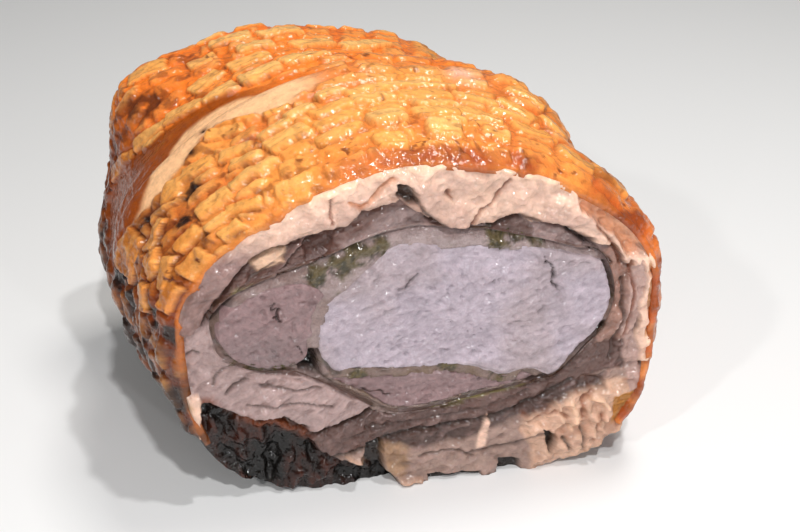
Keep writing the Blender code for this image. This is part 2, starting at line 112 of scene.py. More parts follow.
CHARS = [
    (118, 97, 3), (141, 125, 7), (144, 131, 5), (138, 60, 3), (144, 41, 5), (157, 47, 5), (149, 26, 4),
    (157, 31, 3), (149, 10, 3), (173, 55, 9), (175, 40, 10), (172, 16, 6), (173, 3, 5), (176, 72, 8),
    (158, 140, 6), (133, 70, 2),
]
BLISTERS = [
    (116, 17, 7), (78, 70, 11), (66, 72, 8), (107, 13, 6), (88, 7, 8), (78, 9, 8), (58, 8, 9), (50, 5, 8),
    (126, 3, 5), (128, 60, 7), (136, 33, 4), (150, 26, 5), (160, 8, 4), (36, 30, 7), (152, 60, 5),
    (120, 140, 9), (104, 66, 8), (45, 70, 9), (30, 6, 6),
]
GOLD = (250, 190, 112)
TOASTED = (240, 156, 68)
# Loaf colour on the left flank, darkened as painted shade.
SHADED_LEFT_BROWN = (186, 100, 22)
SYRUP = (246, 156, 74)
REAR_SYRUP = (244, 126, 42)
# Syrup colour on the left flank, darkened as painted shade.
SHADED_LEFT_SYRUP = (132, 54, 4)
GLAZE = (212, 94, 34)
PURPLE_GLAZE = (150, 56, 26)
# Dark brown: singeing, and painted shade in the trenches between the loaves.
SINGED_AND_SHADE = (96, 40, 18)
# Black: char spots, and painted shade on the low skin near the floor.
CHARRED_AND_SHADE = (24, 13, 9)
STRING_PALE = (250, 196, 146)
STRING_SHADE = (150, 68, 6)
PINK_PATCH = (240, 186, 164)
RIND_EDGE = (206, 116, 52)
GRAIN_HEIGHT = 0.0012
SOFT_DEPTH = 0.004
MEAT_SHINE = 0.08


def held(part):
    """Keeps a share between 0 and 1."""
    return np.clip(part, 0.0, 1.0)


def eased(part):
    """Runs from 0 to 1 with level ends: 3 p² - 2 p³."""
    part = held(part)
    return part * part * (3.0 - 2.0 * part)


def bell(off):
    """1 at no offset, falling to 0 on both sides: e to the power of minus the offset squared."""
    return np.exp(-(off**2))


def between(table, at, period=None):
    """Reads a table of {position: value} at any position, eased from one entry to the next."""
    keys = np.array(sorted(table), float)
    values = np.array([table[key] for key in sorted(table)], float)
    at = np.asarray(at, float)
    if period:
        at = at % period
        keys = np.concatenate([keys - period, keys, keys + period])
        values = np.tile(values, 3)
    index = np.clip(np.searchsorted(keys, at, side="right") - 1, 0, len(keys) - 2)
    part = eased((at - keys[index]) / (keys[index + 1] - keys[index]))
    return values[index] * (1 - part) + values[index + 1] * part


def rim_radius(angle):
    """The section's radius by direction: a superellipse whose exponent changes from corner to corner."""
    power = between(SQUARENESS, np.degrees(angle), 360.0)
    height = np.where(np.sin(angle) > 0, TOP_HEIGHT, UNDER_DEPTH)
    across = np.abs(np.cos(angle)) / HALF_WIDTH
    up = np.abs(np.sin(angle)) / height
    return 1.0 / (across**power + up**power) ** (1.0 / power)


def on_ray(angle, radius):
    """The section's point in a direction at a radius from its middle: across and up."""
    return CENTRE_U + radius * np.cos(angle), CENTRE_V + radius * np.sin(angle)


def toward(angle, direction, spread):
    """1 in one direction, in degrees, falling to 0 away from it: a bell of the angle between."""
    return bell(((np.degrees(angle) - direction + 180.0) % 360.0 - 180.0) / spread)


def string_line(angle):
    """Where the string ran: nearer the face on the left side."""
    return STRING_AT - STRING_LEAN * toward(angle, 180.0, LEAN_SPREAD)


def place(u, v, s):
    """The roll's point for a face position and a distance behind the face, in millimetres.

    The distance from the section's middle is scaled by the roll's girth at that length, less the
    string's groove and the rounding of the rear edge; the face slants and the rear is domed.
    """
    u, v, s = np.broadcast_arrays(np.asarray(u, float), v, s)
    across, up = u - CENTRE_U, v - CENTRE_V
    angle = np.arctan2(up, across)
    radius = np.hypot(across, up)
    share = radius / rim_radius(angle)
    along = s + STRING_AT - string_line(angle)
    girth = between(GIRTH, np.where(s < STRAIGHT_END, s, along))
    for direction, spread, start, end, amount in SWELLS:
        here = eased((s - start) / SWELL_RUN) * (1.0 - eased((s - end) / SWELL_RUN))
        girth = girth + amount * toward(angle, direction, spread) * here
    groove = STRING_DEPTH * bell((s - string_line(angle)) / STRING_WIDTH) * share**3
    turn = held((s - (LENGTH - REAR_ROUND)) / REAR_ROUND)
    rounded = REAR_ROUND * (1.0 - np.sqrt(1.0 - turn**2)) * share**3
    x, z = on_ray(angle, radius * girth - groove - rounded)
    slant = (1.0 - s / LENGTH) * u * math.tan(math.radians(CUT_SLANT))
    dome = REAR_DOME * held(s / LENGTH) ** 3 * (1.0 - held(share) ** 2)
    return np.stack([x, s - slant + dome, np.maximum(z, 0.0)], -1)


def drawn(*numbers):
    """A number from 0 to 1, scattered but fixed by the numbers given: the fraction of a large sine."""
    mixed = sum(number * factor for number, factor in zip(numbers, (12.9898, 78.233, 37.719, 4.581)))
    return (np.sin(mixed) * 43758.5453) % 1.0


def grain(x, y, z, cell, seed=0.0):
    """Value noise from -1 to 1: fixed random numbers on a cubic lattice, eased from corner to corner."""
    x, y, z = np.broadcast_arrays(np.asarray(x, float) / cell, np.asarray(y, float) / cell, z / cell)
    total = np.zeros(x.shape)
    for i in (0, 1):
        for j in (0, 1):
            for k in (0, 1):
                corner = drawn(np.floor(x) + i, np.floor(y) + j, np.floor(z) + k, seed + 1.7)
                weight = eased(x % 1.0) if i else 1.0 - eased(x % 1.0)
                weight = weight * (eased(y % 1.0) if j else 1.0 - eased(y % 1.0))
                weight = weight * (eased(z % 1.0) if k else 1.0 - eased(z % 1.0))
                total += corner * weight
    return 2.0 * total - 1.0


def rough(x, y, z, cell, seed=0.0, octaves=3):
    """Layered value noise: each layer half as large and half as strong as the one before."""
    return sum(grain(x, y, z, cell / 2**n, seed + n) / 2**n for n in range(octaves))


def hue(colour):
    """An sRGB colour of 0 to 255 as linear light."""
    share = np.array(colour, float) / 255.0
    return np.where(share <= 0.04045, share / 12.92, ((share + 0.055) / 1.055) ** 2.4)


def blend(under, over, part):
    """One colour field over another, by a share from 0 to 1 at each point."""
    part = held(part)[..., None]
    return under * (1.0 - part) + over * part


def painted(tone, *layers):
    """Colours laid over a colour field in turn, each with its share at each point."""
    for colour, part in layers:
        tone = blend(tone, hue(colour), part)
    return tone


def straight(table, at):
    """Reads a table of {position: value} at any position, straight from one entry to the next."""
    return np.interp(at, sorted(table), [table[key] for key in sorted(table)])


def walk_round():
    """Directions all round the section from the bottom, and how far each is along the rim, in mm."""
    angle = np.radians(np.linspace(-90.0, 270.0, 3601))
    radius = rim_radius(angle)
    step = np.hypot(np.diff(radius * np.cos(angle)), np.diff(radius * np.sin(angle)))
    return angle, np.concatenate([[0.0], np.cumsum(step)])


def equal_steps(start, end, step):
    """Directions from one to another, given in degrees, at equal steps along the rim."""
    angle, walked = walk_round()
    first, last = np.interp(np.radians([start, end]), angle, walked)
    return np.interp(np.linspace(first, last, round((last - first) / step) + 1), walked, angle)


def skin_here(angle):
    """1 under the rind and 0 past its two edges, eased: the share of the rind's thickness."""
    degrees = np.degrees(angle)
    begun = eased((degrees - SKIN_FROM_DEG) / SKIN_FEATHER_DEG)
    return begun * eased((SKIN_TO_DEG - degrees) / SKIN_FEATHER_DEG)


def rounded_oblong(x, y, half_length, half_width):
    """How far a point is outside an oblong with round corners, less than 0 inside: a signed distance."""
    corner = LOAF_CORNER * half_width
    past_x, past_y = np.abs(x) - half_length + corner, np.abs(y) - half_width + corner
    outside = np.hypot(np.maximum(past_x, 0.0), np.maximum(past_y, 0.0))
    return outside + np.minimum(np.maximum(past_x, past_y), 0.0) - corner


def loaves_in_rows(around, along, pitch, seed):
    """Loaves in rows like bricks, each a little turned and its own size: height and own number, 0 to 1."""
    row = np.floor(along / pitch)
    y = along - (row + 0.5) * pitch + 0.9 * (drawn(row, 3.0, seed) - 0.5)
    slid = around + 0.3 * along + 5.0 * drawn(row, 5.0, seed)
    loaf = np.floor(slid / LOAF_ACROSS)
    x = slid - (loaf + 0.5) * LOAF_ACROSS + 3.0 * (drawn(row, loaf, seed, 1.0) - 0.5)
    turn = 0.3 * (drawn(row, loaf, seed, 2.0) - 0.5)
    x, y = x + turn * y, y - turn * x
    half_length = LOAF_ACROSS * (0.33 + 0.14 * drawn(row, loaf, seed, 3.0))
    half_width = pitch * (0.32 + 0.14 * drawn(row, loaf, seed, 4.0))
    part = held(-rounded_oblong(x, y, half_length, half_width) / (0.7 * half_width))
    return np.sqrt(1.0 - (1.0 - part) ** 2), drawn(row, loaf, seed, 7.0)


def listed_loaves(around, s, warp, seed):
    """The loaves of the list: height, own number, place across (1 at the front side) and nearness.

    Each is an oblong about the line from end to end. Its height is a quarter round of the depth
    inside it, higher towards the front, and the widest ones are parted lengthways by a dent.
    """
    fine, walked = walk_round()
    height, own, across, near = (np.zeros(around.shape) for _ in range(4))
    for number, (left, left_s, right, right_s, width) in enumerate(LOAVES):
        start = np.array([np.interp(math.radians(left), fine, walked), left_s])
        end = np.array([np.interp(math.radians(right), fine, walked), right_s])
        length = math.hypot(*(end - start))
        run = (end - start) / length
        dx, dy = around + warp - (start + end)[0] / 2, s + 0.7 * warp - (start + end)[1] / 2
        x, y = dx * run[0] + dy * run[1], dy * run[0] - dx * run[1]
        y = y + 0.6 * (drawn(number, 2.0) - 0.5) * x / width
        half_width = 0.5 * width
        outside = rounded_oblong(x, y, 0.5 * length + 1.5, half_width + 0.5)
        part = held(-outside / min(1.2, 0.5 * half_width))
        raised = np.sqrt(1.0 - (1.0 - part) ** 2) * (1.0 + 0.16 * y / half_width)
        if width > 8:
            raised = raised * (1.0 - 0.25 * bell((y - 0.2 * width) / 0.6))
        over = raised > height
        height = np.where(over, raised, height)
        own = np.where(over, drawn(number, seed), own)
        across = np.where(over, y / half_width, across)
        near = np.maximum(near, 1.0 - held(outside / 1.8))
    return height, own, across, near


def spots(degrees, s, places):
    """1 at any of some places, given in degrees and mm, falling off as a bell of each one's radius."""
    total = sum(
        np.exp(-(((degrees - at) * MM_PER_DEG) ** 2 + (s - behind) ** 2) / radius**2)
        for at, behind, radius in places
    )
    return np.minimum(total, 1.0)


def crackle(angle, s):
    """How far the skin stands out at each point, with its colour and how wet it is."""
    fine, walked = walk_round()
    around = np.interp(angle, fine, walked)
    degrees = np.degrees(angle)
    x, y, z = np.moveaxis(place(*on_ray(angle, rim_radius(angle)), s), -1, 0)

    def noise(cell, seed, octaves=3):
        return rough(x, y, z, cell, seed, octaves)

    behind = s - string_line(angle)
    rear = behind > 6.0
    ragged = 0.9 * noise(8.0, 2.0)
    bare = eased((s - straight(BARE_FROM, degrees) + 2.0 + ragged) / 4.0 + 0.5)
    bare = bare * eased((straight(BARE_TO, degrees) - s + 0.4 * ragged) / 2.4 + 0.5)
    bare = bare * eased((degrees - 88.0) / 14.0)
    seen, seen_own, across, near = listed_loaves(around, s, 0.5 * noise(4.0, 2.0, 2), 3.0)
    wave = 1.6 * grain(around, s, 0.0, 30.0, 2.0)
    pitch = np.where(rear, REAR_LOAF_ALONG, LOAF_ALONG)
    rows, rows_own = loaves_in_rows(around, 200.0 + s + wave, pitch, 3.0)
    unseen = eased((24.0 - degrees) / 5.0) + eased((degrees - 174.0) / 5.0) + eased((s - 153.0) / 4.0)
    unseen = held(unseen + eased((46.0 - degrees) / 5.0) * eased((s - 64.0) / 5.0))
    rows = rows * np.maximum(unseen, 0.85 * (1.0 - near))
    height = np.where(seen > rows, seen, rows)
    own = np.where(seen > rows, seen_own, rows_own)
    across = np.where(seen > rows, across, 0.0)
    left = eased((degrees - 138.0) / 26.0)
    right = eased((56.0 - degrees) / 22.0)
    blister = np.maximum(spots(degrees, s, BLISTERS), eased((noise(16.0, 4.0) - 0.55) / 0.2))
    blister = blister * (1.0 - bare)
    char = spots(degrees, s, CHARS)
    glazed = eased((8.5 - s) / 3.0) * eased((degrees - 54.0) / 6.0) * eased((114.0 - degrees) / 8.0)
    rise = LOAF_RISE * (0.7 + 0.5 * own) * height * (1.0 - 0.9 * bare) * (1.0 - 0.6 * glazed)
    rise = rise * (1.0 - 0.4 * blister) * np.where(rear, 0.72, 1.0) + RIND_STANDS
    rise = rise + 0.22 * noise(1.7, 7.0, 1) * (1.0 - bare)
    bubbles = np.maximum(noise(2.8, 6.0, 2), 0.0)
    rise = rise + 1.2 * bubbles * blister * (1.0 - height) + 0.35 * noise(3.2, 9.0) * (1.0 - bare)
    rise = rise + 0.8 * noise(13.0, 11.0, 2) * (1.0 - 0.7 * bare)
    flaky = left * np.where(rear, 0.7, 1.0) + 0.35 * right
    rise = rise + 1.3 * flaky * rough(x, 0.5 * y, 0.5 * z, 5.5, 12.0) * (1.0 - 0.85 * bare)
    crest = bell((s - straight(BARE_FROM, degrees) + 3.5) / 2.6) * toward(angle, 128.0, 14.0)
    rise = rise + 1.6 * crest - 0.5 * near * (1.0 - held(height * 4.0)) - 0.8 * char

    top = held(height * 1.5 - 0.3) * (1.0 - bare) * (1.0 - 0.85 * glazed) * (1.0 - 0.25 * blister)
    faded = 0.25 + 0.75 * eased(noise(26.0, 55.0) * 1.3 + 0.75)
    top = top * np.where(seen > rows, 1.0, (0.6 + 0.4 * unseen) * faded)
    trench = near * (1.0 - held(height * 3.0)) * (1.0 - bare)
    dots = eased((noise(2.6, 27.0, 2) - 0.55) / 0.2) * (0.35 + 0.45 * blister + 0.5 * crest + 0.3 * left)
    crisp = eased((noise(4.5, 57.0) - 0.25) / 0.25) * eased((degrees - 92.0) / 40.0) * (1.0 - bare)
    pale = eased((straight(PALE_TO, degrees) - s + 1.5 * noise(16.0, 29.0)) / 5.0 + 0.5)
    scorched = held(char * (1.0 + 1.1 * noise(4.5, 31.0)) * (1.0 - 0.6 * top))
    # The skin low on both sides, near the floor, is painted black: char from the tin and painted shade.
    low = eased((degrees - 170.0) / 16.0) + 0.5 * eased((-14.0 - degrees) / 14.0)
    char_and_shade = low * held(0.75 + 0.7 * noise(9.0, 33.0)) * (1.0 - 0.5 * bare)
    # Painted shade: the loaves on the left flank are painted darker brown.
    loaf = painted(
        hue(TOASTED), (GOLD, 0.25 + 0.85 * own - 0.3 * right), (SHADED_LEFT_BROWN, 0.95 * left - 0.3 * own * left),
        # Syrup colour towards each loaf's edges: partly the glaze there, partly painted shade, deeper on the
        # front side.
        (SYRUP, 0.55 * eased((across - 0.3) / 0.6) + 0.35 * eased((-across - 0.5) / 0.5)),
        (GOLD, 0.3 * eased(noise(3.0, 19.0) * 1.5)),
    )
    string = painted(
        hue(STRING_SHADE), (REAR_SYRUP, 0.8 * eased((122.0 - degrees) / 16.0)),
        (STRING_PALE, pale * eased((degrees - 92.0) / 16.0)),
    )
    tone = painted(
        hue(SYRUP), (REAR_SYRUP, eased(behind / 14.0) * eased((degrees - 20.0) / 40.0)),
        (GLAZE, 0.55 * eased(noise(20.0, 15.0) * 1.2 + 0.35) + 0.35 * right - 0.25 * rear),
        # Painted shade: the syrup on the left flank is painted darker.
        (SHADED_LEFT_SYRUP, left), (PURPLE_GLAZE, 0.85 * glazed * eased(noise(22.0, 17.0) + 0.75)),
    )
    tone = painted(
        blend(tone, loaf, top), (TOASTED, 0.5 * crest + 0.35 * blister * eased(bubbles * 3.0)),
        # Painted shade in the trenches at the foot of each loaf, deeper on the left.
        (SINGED_AND_SHADE, trench * (0.35 + 0.3 * left) * eased(noise(7.0, 25.0) + 0.7)),
        (SINGED_AND_SHADE, dots * (1.0 - 0.8 * bare)), (SINGED_AND_SHADE, 0.6 * crisp * (1.0 - 0.75 * top)),
    )
    tone = painted(
        blend(tone, string, bare * 0.96), (PINK_PATCH, 0.8 * spots(degrees, s, [(60, 66, 6)])),
        (SINGED_AND_SHADE, 0.85 * scorched),
        (CHARRED_AND_SHADE, 0.9 * eased((scorched - 0.45) / 0.5) * np.where(rear & (degrees < 165.0), 0.3, 1.0)),
        # Painted shade with char on the low skin near the floor.
        (CHARRED_AND_SHADE, 0.92 * char_and_shade),
        (RIND_EDGE, 0.7 * eased((1.4 - s) / 1.0) * (1.0 - 0.8 * char_and_shade) * (1.0 - 0.6 * glazed)),
        (SINGED_AND_SHADE, 0.85 * eased((48.0 - degrees) / 20.0) * eased(noise(9.0, 58.0) + 0.6)),
        (GLAZE, 0.45 * eased((40.0 - degrees) / 24.0) * (1.0 - 0.5 * top)),
    )
    tone = tone * (1.0 + 0.10 * noise(1.8, 40.0)[..., None])
    wet = 0.5 + 0.35 * (1.0 - top) - 0.5 * bare + 0.25 * blister
    return rise, held(tone), held(wet)


def cooked(name, roughness, subsurface, radius, coat, coat_roughness, bump, grain_scale, mottle, run, swell):
    """A cooked surface: the piece's own colours, mottled by two noises, under a wet coat.

    The meat has fine bumps. The coat has its own slow ripples, set by their run and swell in mm, and
    the wetter a point is, the smoother the meat under the coat.
    """
    material = bpy.data.materials.new(name)
    material.use_nodes = True
    nodes, links = material.node_tree.nodes, material.node_tree.links
    shader = nodes["Principled BSDF"]
    where = nodes.new("ShaderNodeTexCoord")

    def made(kind, values, sources, output, operation=None):
        """The output of a new node, with its values set and its inputs linked."""
        node = nodes.new("ShaderNode" + kind)
        if operation:
            node.operation = operation
        for socket, value in values.items():
            node.inputs[socket].default_value = value
        for socket, source in sources.items():
            links.new(source, node.inputs[socket])
        return node.outputs[output]

    def noise(scale, detail):
        values = {"Scale": scale, "Detail": detail}
        return made("TexNoise", values, {"Vector": where.outputs["Object"]}, "Fac")

    def field(attribute, output):
        node = nodes.new("ShaderNodeAttribute")
        node.attribute_name = attribute
        return node.outputs[output]

    fine = noise(grain_scale, 5.0)
    spotted = made("Math", {}, {0: fine, 1: noise(grain_scale * 0.22, 3.0)}, "Value", "ADD")
    ends = {"From Min": 0.6, "From Max": 1.4, "To Min": 1.0 - mottle, "To Max": 1.0 + mottle}
    light = made("MapRange", ends, {"Value": spotted}, "Result")
    colour = made("VectorMath", {}, {0: field("tone", "Color"), "Scale": light}, "Vector", "SCALE")
    ends = {"To Min": roughness + 0.22, "To Max": roughness - 0.08}
    dull = made("MapRange", ends, {"Value": field("wet", "Fac")}, "Result")
    height = made("Math", {}, {0: noise(grain_scale * 1.9, 3.0), 1: fine}, "Value", "ADD")
    relief = made("Bump", {"Strength": bump, "Distance": GRAIN_HEIGHT}, {"Height": height}, "Normal")
    film = noise(1000.0 / run, 1.5)
    ripple = made("Bump", {"Strength": 1.0, "Distance": swell * MM}, {"Height": film}, "Normal")
    for socket, source in (
        ("Base Color", colour), ("Roughness", dull), ("Normal", relief), ("Coat Normal", ripple),
    ):
        links.new(source, shader.inputs[socket])
    shader.inputs["Subsurface Weight"].default_value = subsurface
    shader.inputs["Subsurface Radius"].default_value = radius
    shader.inputs["Subsurface Scale"].default_value = SOFT_DEPTH
    shader.inputs["Coat Weight"].default_value = coat
    shader.inputs["Coat Roughness"].default_value = coat_roughness
    shader.inputs["Specular IOR Level"].default_value = MEAT_SHINE
    return material


def new_piece(name, points, faces, tone, wet, material, node, slot_name, used=slice(None)):
    """Makes a piece from points in millimetres, in the drawing's own place, with its colours and wetness."""
    points = (points.reshape(-1, 3)[used] - FRAME_ORIGIN) * MM
    tone = tone.reshape(-1, 3)[used]
    mesh = bpy.data.meshes.new(name)
    mesh.from_pydata(points.tolist(), [], faces)
    mesh.polygons.foreach_set("use_smooth", [len(face) < 5 for face in faces])
    colours = mesh.attributes.new("tone", "FLOAT_COLOR", "POINT")
    colours.data.foreach_set("color", np.concatenate([tone, np.ones((len(tone), 1))], 1).ravel())
    mesh.attributes.new("wet", "FLOAT", "POINT").data.foreach_set("value", wet.ravel()[used])
    mesh.materials.append(material)
    piece = bpy.data.objects.new(name, mesh)
    bpy.context.scene.collection.objects.link(piece)
    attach(piece, "root")
    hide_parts(node)
    return piece


def skin_length(name, start, end, front_lip, material):
    """One length of the skin: its outside in fine rows, back along its inside in a few, ends closed."""
    angle = equal_steps(SKIN_FROM_DEG, SKIN_TO_DEG, SKIN_STEP)
    outside = np.linspace(start, end, round((end - start) / SKIN_STEP) + 1)
    inside = np.linspace(end, start, 8)
    rows = np.concatenate([outside, inside])
    sunk = np.concatenate([np.zeros(len(outside)), np.full(len(inside), SKIN_THICKNESS)])[:, None]
    around, along = np.meshgrid(angle, rows)
    u, v = on_ray(around, rim_radius(around))
    rise, tone, wet = crackle(around, along)
    lip = eased(along / 3.0) if front_lip else np.ones(along.shape)
    here = skin_here(around)
    out = np.where(sunk > 0, -sunk, (rise * lip - 0.9 * (1.0 - lip)) * here - 1.2 * (1.0 - here))
    points = place(u, v, along)
    ragged = 1.3 * rough(u, v, 0.0, 8.0, 51.0) * np.exp(-along / 5.0) if front_lip else 0.0
    points[..., 0] += out * np.cos(around)
    points[..., 1] += ragged
    points[..., 2] = np.maximum(points[..., 2] + out * np.sin(around), 0.0)
    index = np.arange(points[..., 0].size).reshape(around.shape)
    below = np.roll(index, -1, 0)
    quads = np.stack([index[:, :-1], below[:, :-1], below[:, 1:], index[:, 1:]], -1).reshape(-1, 4)
    faces = quads.tolist() + [index[::-1, 0].tolist(), index[:, -1].tolist()]
    return new_piece(name, points, faces, tone, wet, material, "belly_wrap", "crackling")


crackling = cooked("crackling", 0.34, 0.03, (1.0, 0.45, 0.15), 0.85, 0.11, 0.35, 1100.0, 0.16, 3.3, 1.5)
skin_length("crackling_front", 0.0, HALVES_MEET, True, crackling)
skin_length("crackling_rear", HALVES_MEET, LENGTH, False, crackling)


# The belly inside its rind: a cap of soft fat over layers of lean, wrapped nearly all round the loin
# and back under it, roasted in one piece with the skin. The knife left its cut end pale and wet; the
# outer end underneath burnt black against the tin, and the far end browned. That black corner is set
# back and painted black for its char and as painted shade.
CAVITY = [
    (75.7, 80), (73.4, 92.6), (68, 101.8), (58, 105), (47, 109.4), (37, 112.4), (27, 115.6), (18, 117),
    (3.5, 119.8), (-9, 119.3), (-21.6, 116), (-34, 110.6), (-49, 105.4), (-61, 101.4), (-69, 97.4),
    (-76, 89.6), (-76, 80), (-73.2, 71.4), (-62, 63.7), (-48, 61.9), (-38.5, 56.2), (-22.6, 44.8),
    (-13.5, 38), (0, 36.3), (17, 39.4), (34, 42), (48, 44.4), (55, 46.4), (65, 58), (72.5, 67.5),
]
FAT = [
    (-84, 84), (-75.6, 93.3), (-71.6, 98.8), (-67.6, 105.5), (-57.5, 114.3), (-51.1, 117.3), (-41.9, 118.7),
    (-34.8, 121.6), (-25.6, 123.5), (-20.9, 129.4), (-14.6, 130), (-7.2, 132.8), (-1.2, 127), (3.5, 122.8),
    (9.3, 119.7), (12.9, 117.3), (18, 117.1), (21.6, 118.8), (26.4, 117.9), (31.1, 119.9), (35.5, 121.1),
    (39.6, 118.6), (44.2, 117.3), (48.6, 117.6), (53.7, 114.1), (58.8, 110.6), (63.9, 107.5), (73, 104),
    (80.5, 95), (84, 80), (84, 50), (110, 50), (110, 170), (-110, 170), (-110, 84),
]
LEAN_UNDER_FAT = FAT[1:9] + [
    (-14, 131), (-4, 133), (4, 124), (3.5, 118), (-9, 117), (-34, 108), (-49, 103), (-69, 95), (-77, 88),
]
LOBE = [
    (-77, 91), (-75, 80), (-71.6, 72), (-60, 62), (-46, 60), (-36, 53), (-20, 42), (-10, 34), (-18.1, 38.5),
    (-21.3, 37), (-29.5, 34.3), (-37.3, 31.5), (-42.8, 29.3), (-49.2, 32.3), (-52.7, 39.7), (-56.5, 39.3),
    (-64.3, 40.5), (-72.2, 45.5), (-79.2, 51.3), (-110, 53), (-110, 84), (-84, 84),
]
CHAR_AND_SHADE_CORNER = [
    (-110, 54), (-79.2, 51.3), (-72.2, 45.5), (-64.3, 40.5), (-52.7, 39.7), (-47, 35), (-42, 30),
    (-41, 24), (-37, 17.5), (-34, 16), (-15.5, 9.7), (-8, 1), (-8, -30), (-110, -30),
]
UNDER_LAYER = [
    (-52, 23), (-41.8, 18.6), (-34, 17.3), (-23.2, 19.7), (-13.6, 23.9), (-3.7, 26.4), (8.3, 26.6),
    (20.7, 27.8), (32.8, 30), (41.2, 32.8), (52.3, 37.2), (61.4, 42.4), (74, 46), (110, 50), (110, -30),
    (-20, -30), (-15.5, 9.7),
]
RIGHT_LAYER = [(58, 104), (73.1, 102.6), (80.5, 93.1), (83, 79.2), (80, 60), (70, 60), (74, 80), (70, 96)]
FRAYED = [(40, 31), (50, 33), (58, 37), (68, 40), (77, 42), (110, 42), (110, -30), (44, -30), (46, 4)]
BAND_GREY = (92, 68, 62)
LEAN_BROWN = (98, 68, 60)
VEIL_GREY = (152, 128, 124)
STRAND_PINK = (182, 150, 140)
LOBE_GREY = (172, 146, 142)
UNDER_PINK = (160, 132, 120)
LAYER_PINK = (152, 114, 100)
FRAY_PEACH = (208, 168, 144)
FAT_CREAM = (234, 194, 172)
FAT_PEACH = (246, 202, 170)
# Grey fat; also painted shade on the fat's lower left and in the dips of its folds.
FAT_GREY_AND_SHADE = (150, 120, 114)
GLAZED_PINK = (216, 150, 112)
TAN = (158, 124, 96)
OLIVE = (116, 106, 62)
OCHRE = (198, 142, 76)
CRUST_BROWN = (120, 58, 26)
CREVICE_SHADE = (44, 30, 24)
# Near-black painted shade for the insides of sunk grooves, cracks and pits.
SHADE_DARK = (74, 54, 48)
BROWNED = (146, 88, 48)
TIN_BROWN = (86, 52, 34)
# Near-black: real char on the corner and the underside, and painted shade in the deep pits and cracks.
CHAR_AND_SHADE_BLACK = (10, 6, 4)
CHAR_BROWN = (66, 26, 12)
PATCHES = [
    (LEAN_UNDER_FAT, 1.4, -0.3, LEAN_BROWN), (LOBE, 1.2, 0.6, LOBE_GREY), (UNDER_LAYER, 1.0, 0.9, UNDER_PINK),
    (RIGHT_LAYER, 2.2, 0.6, LAYER_PINK), (FRAYED, 3.0, 1.6, FRAY_PEACH),
    ([(-28, 116), (-20, 119), (-12, 126), (-4, 128), (2, 125), (4, 118), (-9, 117), (-26, 112)],
     4.0, -0.2, VEIL_GREY),
    ([(40, 118), (50, 117), (60, 111), (70, 104), (68, 99), (56, 106), (42, 110)], 3.0, -0.2, VEIL_GREY),
    ([(38, 34), (48, 38), (60, 43), (74, 45), (74, 39), (62, 37), (50, 30), (38, 28)], 3.0, -0.9, SHADE_DARK),
    ([(-14, 27), (8, 26.6), (28, 29), (40, 32), (39, 27), (20, 20), (0, 18), (-12, 20)],
     3.0, 0.2, SHADE_DARK),
    (FAT, 1.2, 3.2, FAT_CREAM), ([(-67, 101), (-58, 102), (-57, 98), (-67, 96)], 2.5, 0.0, OLIVE),
    ([(-61, 113), (-53, 118), (-47, 116), (-49, 110), (-57, 107)], 2.0, 1.2, FAT_PEACH),
    ([(56, 131), (66, 129), (78, 118), (86, 102), (79, 100), (70, 112), (59, 121)], 3.0, -0.6, GLAZED_PINK),
    ([(84, 98), (87, 90), (85, 79), (83, 66), (87, 54), (91, 40), (88, 27), (84, 31), (84, 40), (81, 54),
      (78, 66), (81, 80), (80, 92)], 1.0, 1.5, STRAND_PINK),
    ([(87, 97), (90, 92), (94, 78), (94, 62), (88, 62), (89, 78)], 1.6, 0.6, OCHRE),
    ([(77, 34), (90, 36), (90, 18), (79, 19)], 2.2, 0.4, OCHRE),
    ([(24, 14), (25, 24), (26.5, 31), (28.5, 24), (28, 15)], 0.8, 1.0, FAT_CREAM),
    ([(-14, 22), (-6, 21), (-4, 12), (-6, 3), (-12, 4), (-15, 12)], 3.0, 0.6, TAN),
    ([(-42, 16), (-25, 12), (-25, 3), (-33, -4), (-43, 6)], 2.0, 0.8, OLIVE),
]
# Pits in the cut: outline, soft edge, depth in mm and colour. The near-black ones are painted shade in the
# deep holes.
PITS = [
    ([(-41, 117), (-36, 122), (-31, 123), (-30.5, 116), (-35, 110), (-39.5, 110)], 2.0, 3.2, LEAN_BROWN),
    ([(-7.5, 139), (-3.5, 137), (-0.5, 131), (-5, 131), (-8, 134)], 1.2, 4.0, CREVICE_SHADE),
    ([(-14.5, 23), (-20, 20.5), (-23, 15), (-20, 8), (-13, 4), (-14, 12)], 1.2, 6.0, CHAR_AND_SHADE_BLACK),
    ([(50, 21), (54.5, 18), (56, 12), (54, 7), (52.5, 13)], 0.9, 4.5, CHAR_AND_SHADE_BLACK),
    ([(-18.5, 44.5), (-12.5, 38.5), (-18, 38.8)], 0.8, 3.5, CHAR_AND_SHADE_BLACK),
    ([(4, -8), (4, 3), (25, 2.2), (26, -8)], 1.2, 3.0, CHAR_AND_SHADE_BLACK),
    ([(33, -8), (33, 6.5), (42, 5.5), (42, -8)], 1.2, 3.0, CHAR_AND_SHADE_BLACK),
]
BURNT_EDGE = [(-84, 52), (-79, 52), (-75, 49), (-69, 42.5), (-61, 37), (-54, 36.5), (-49, 32), (-43, 29)]
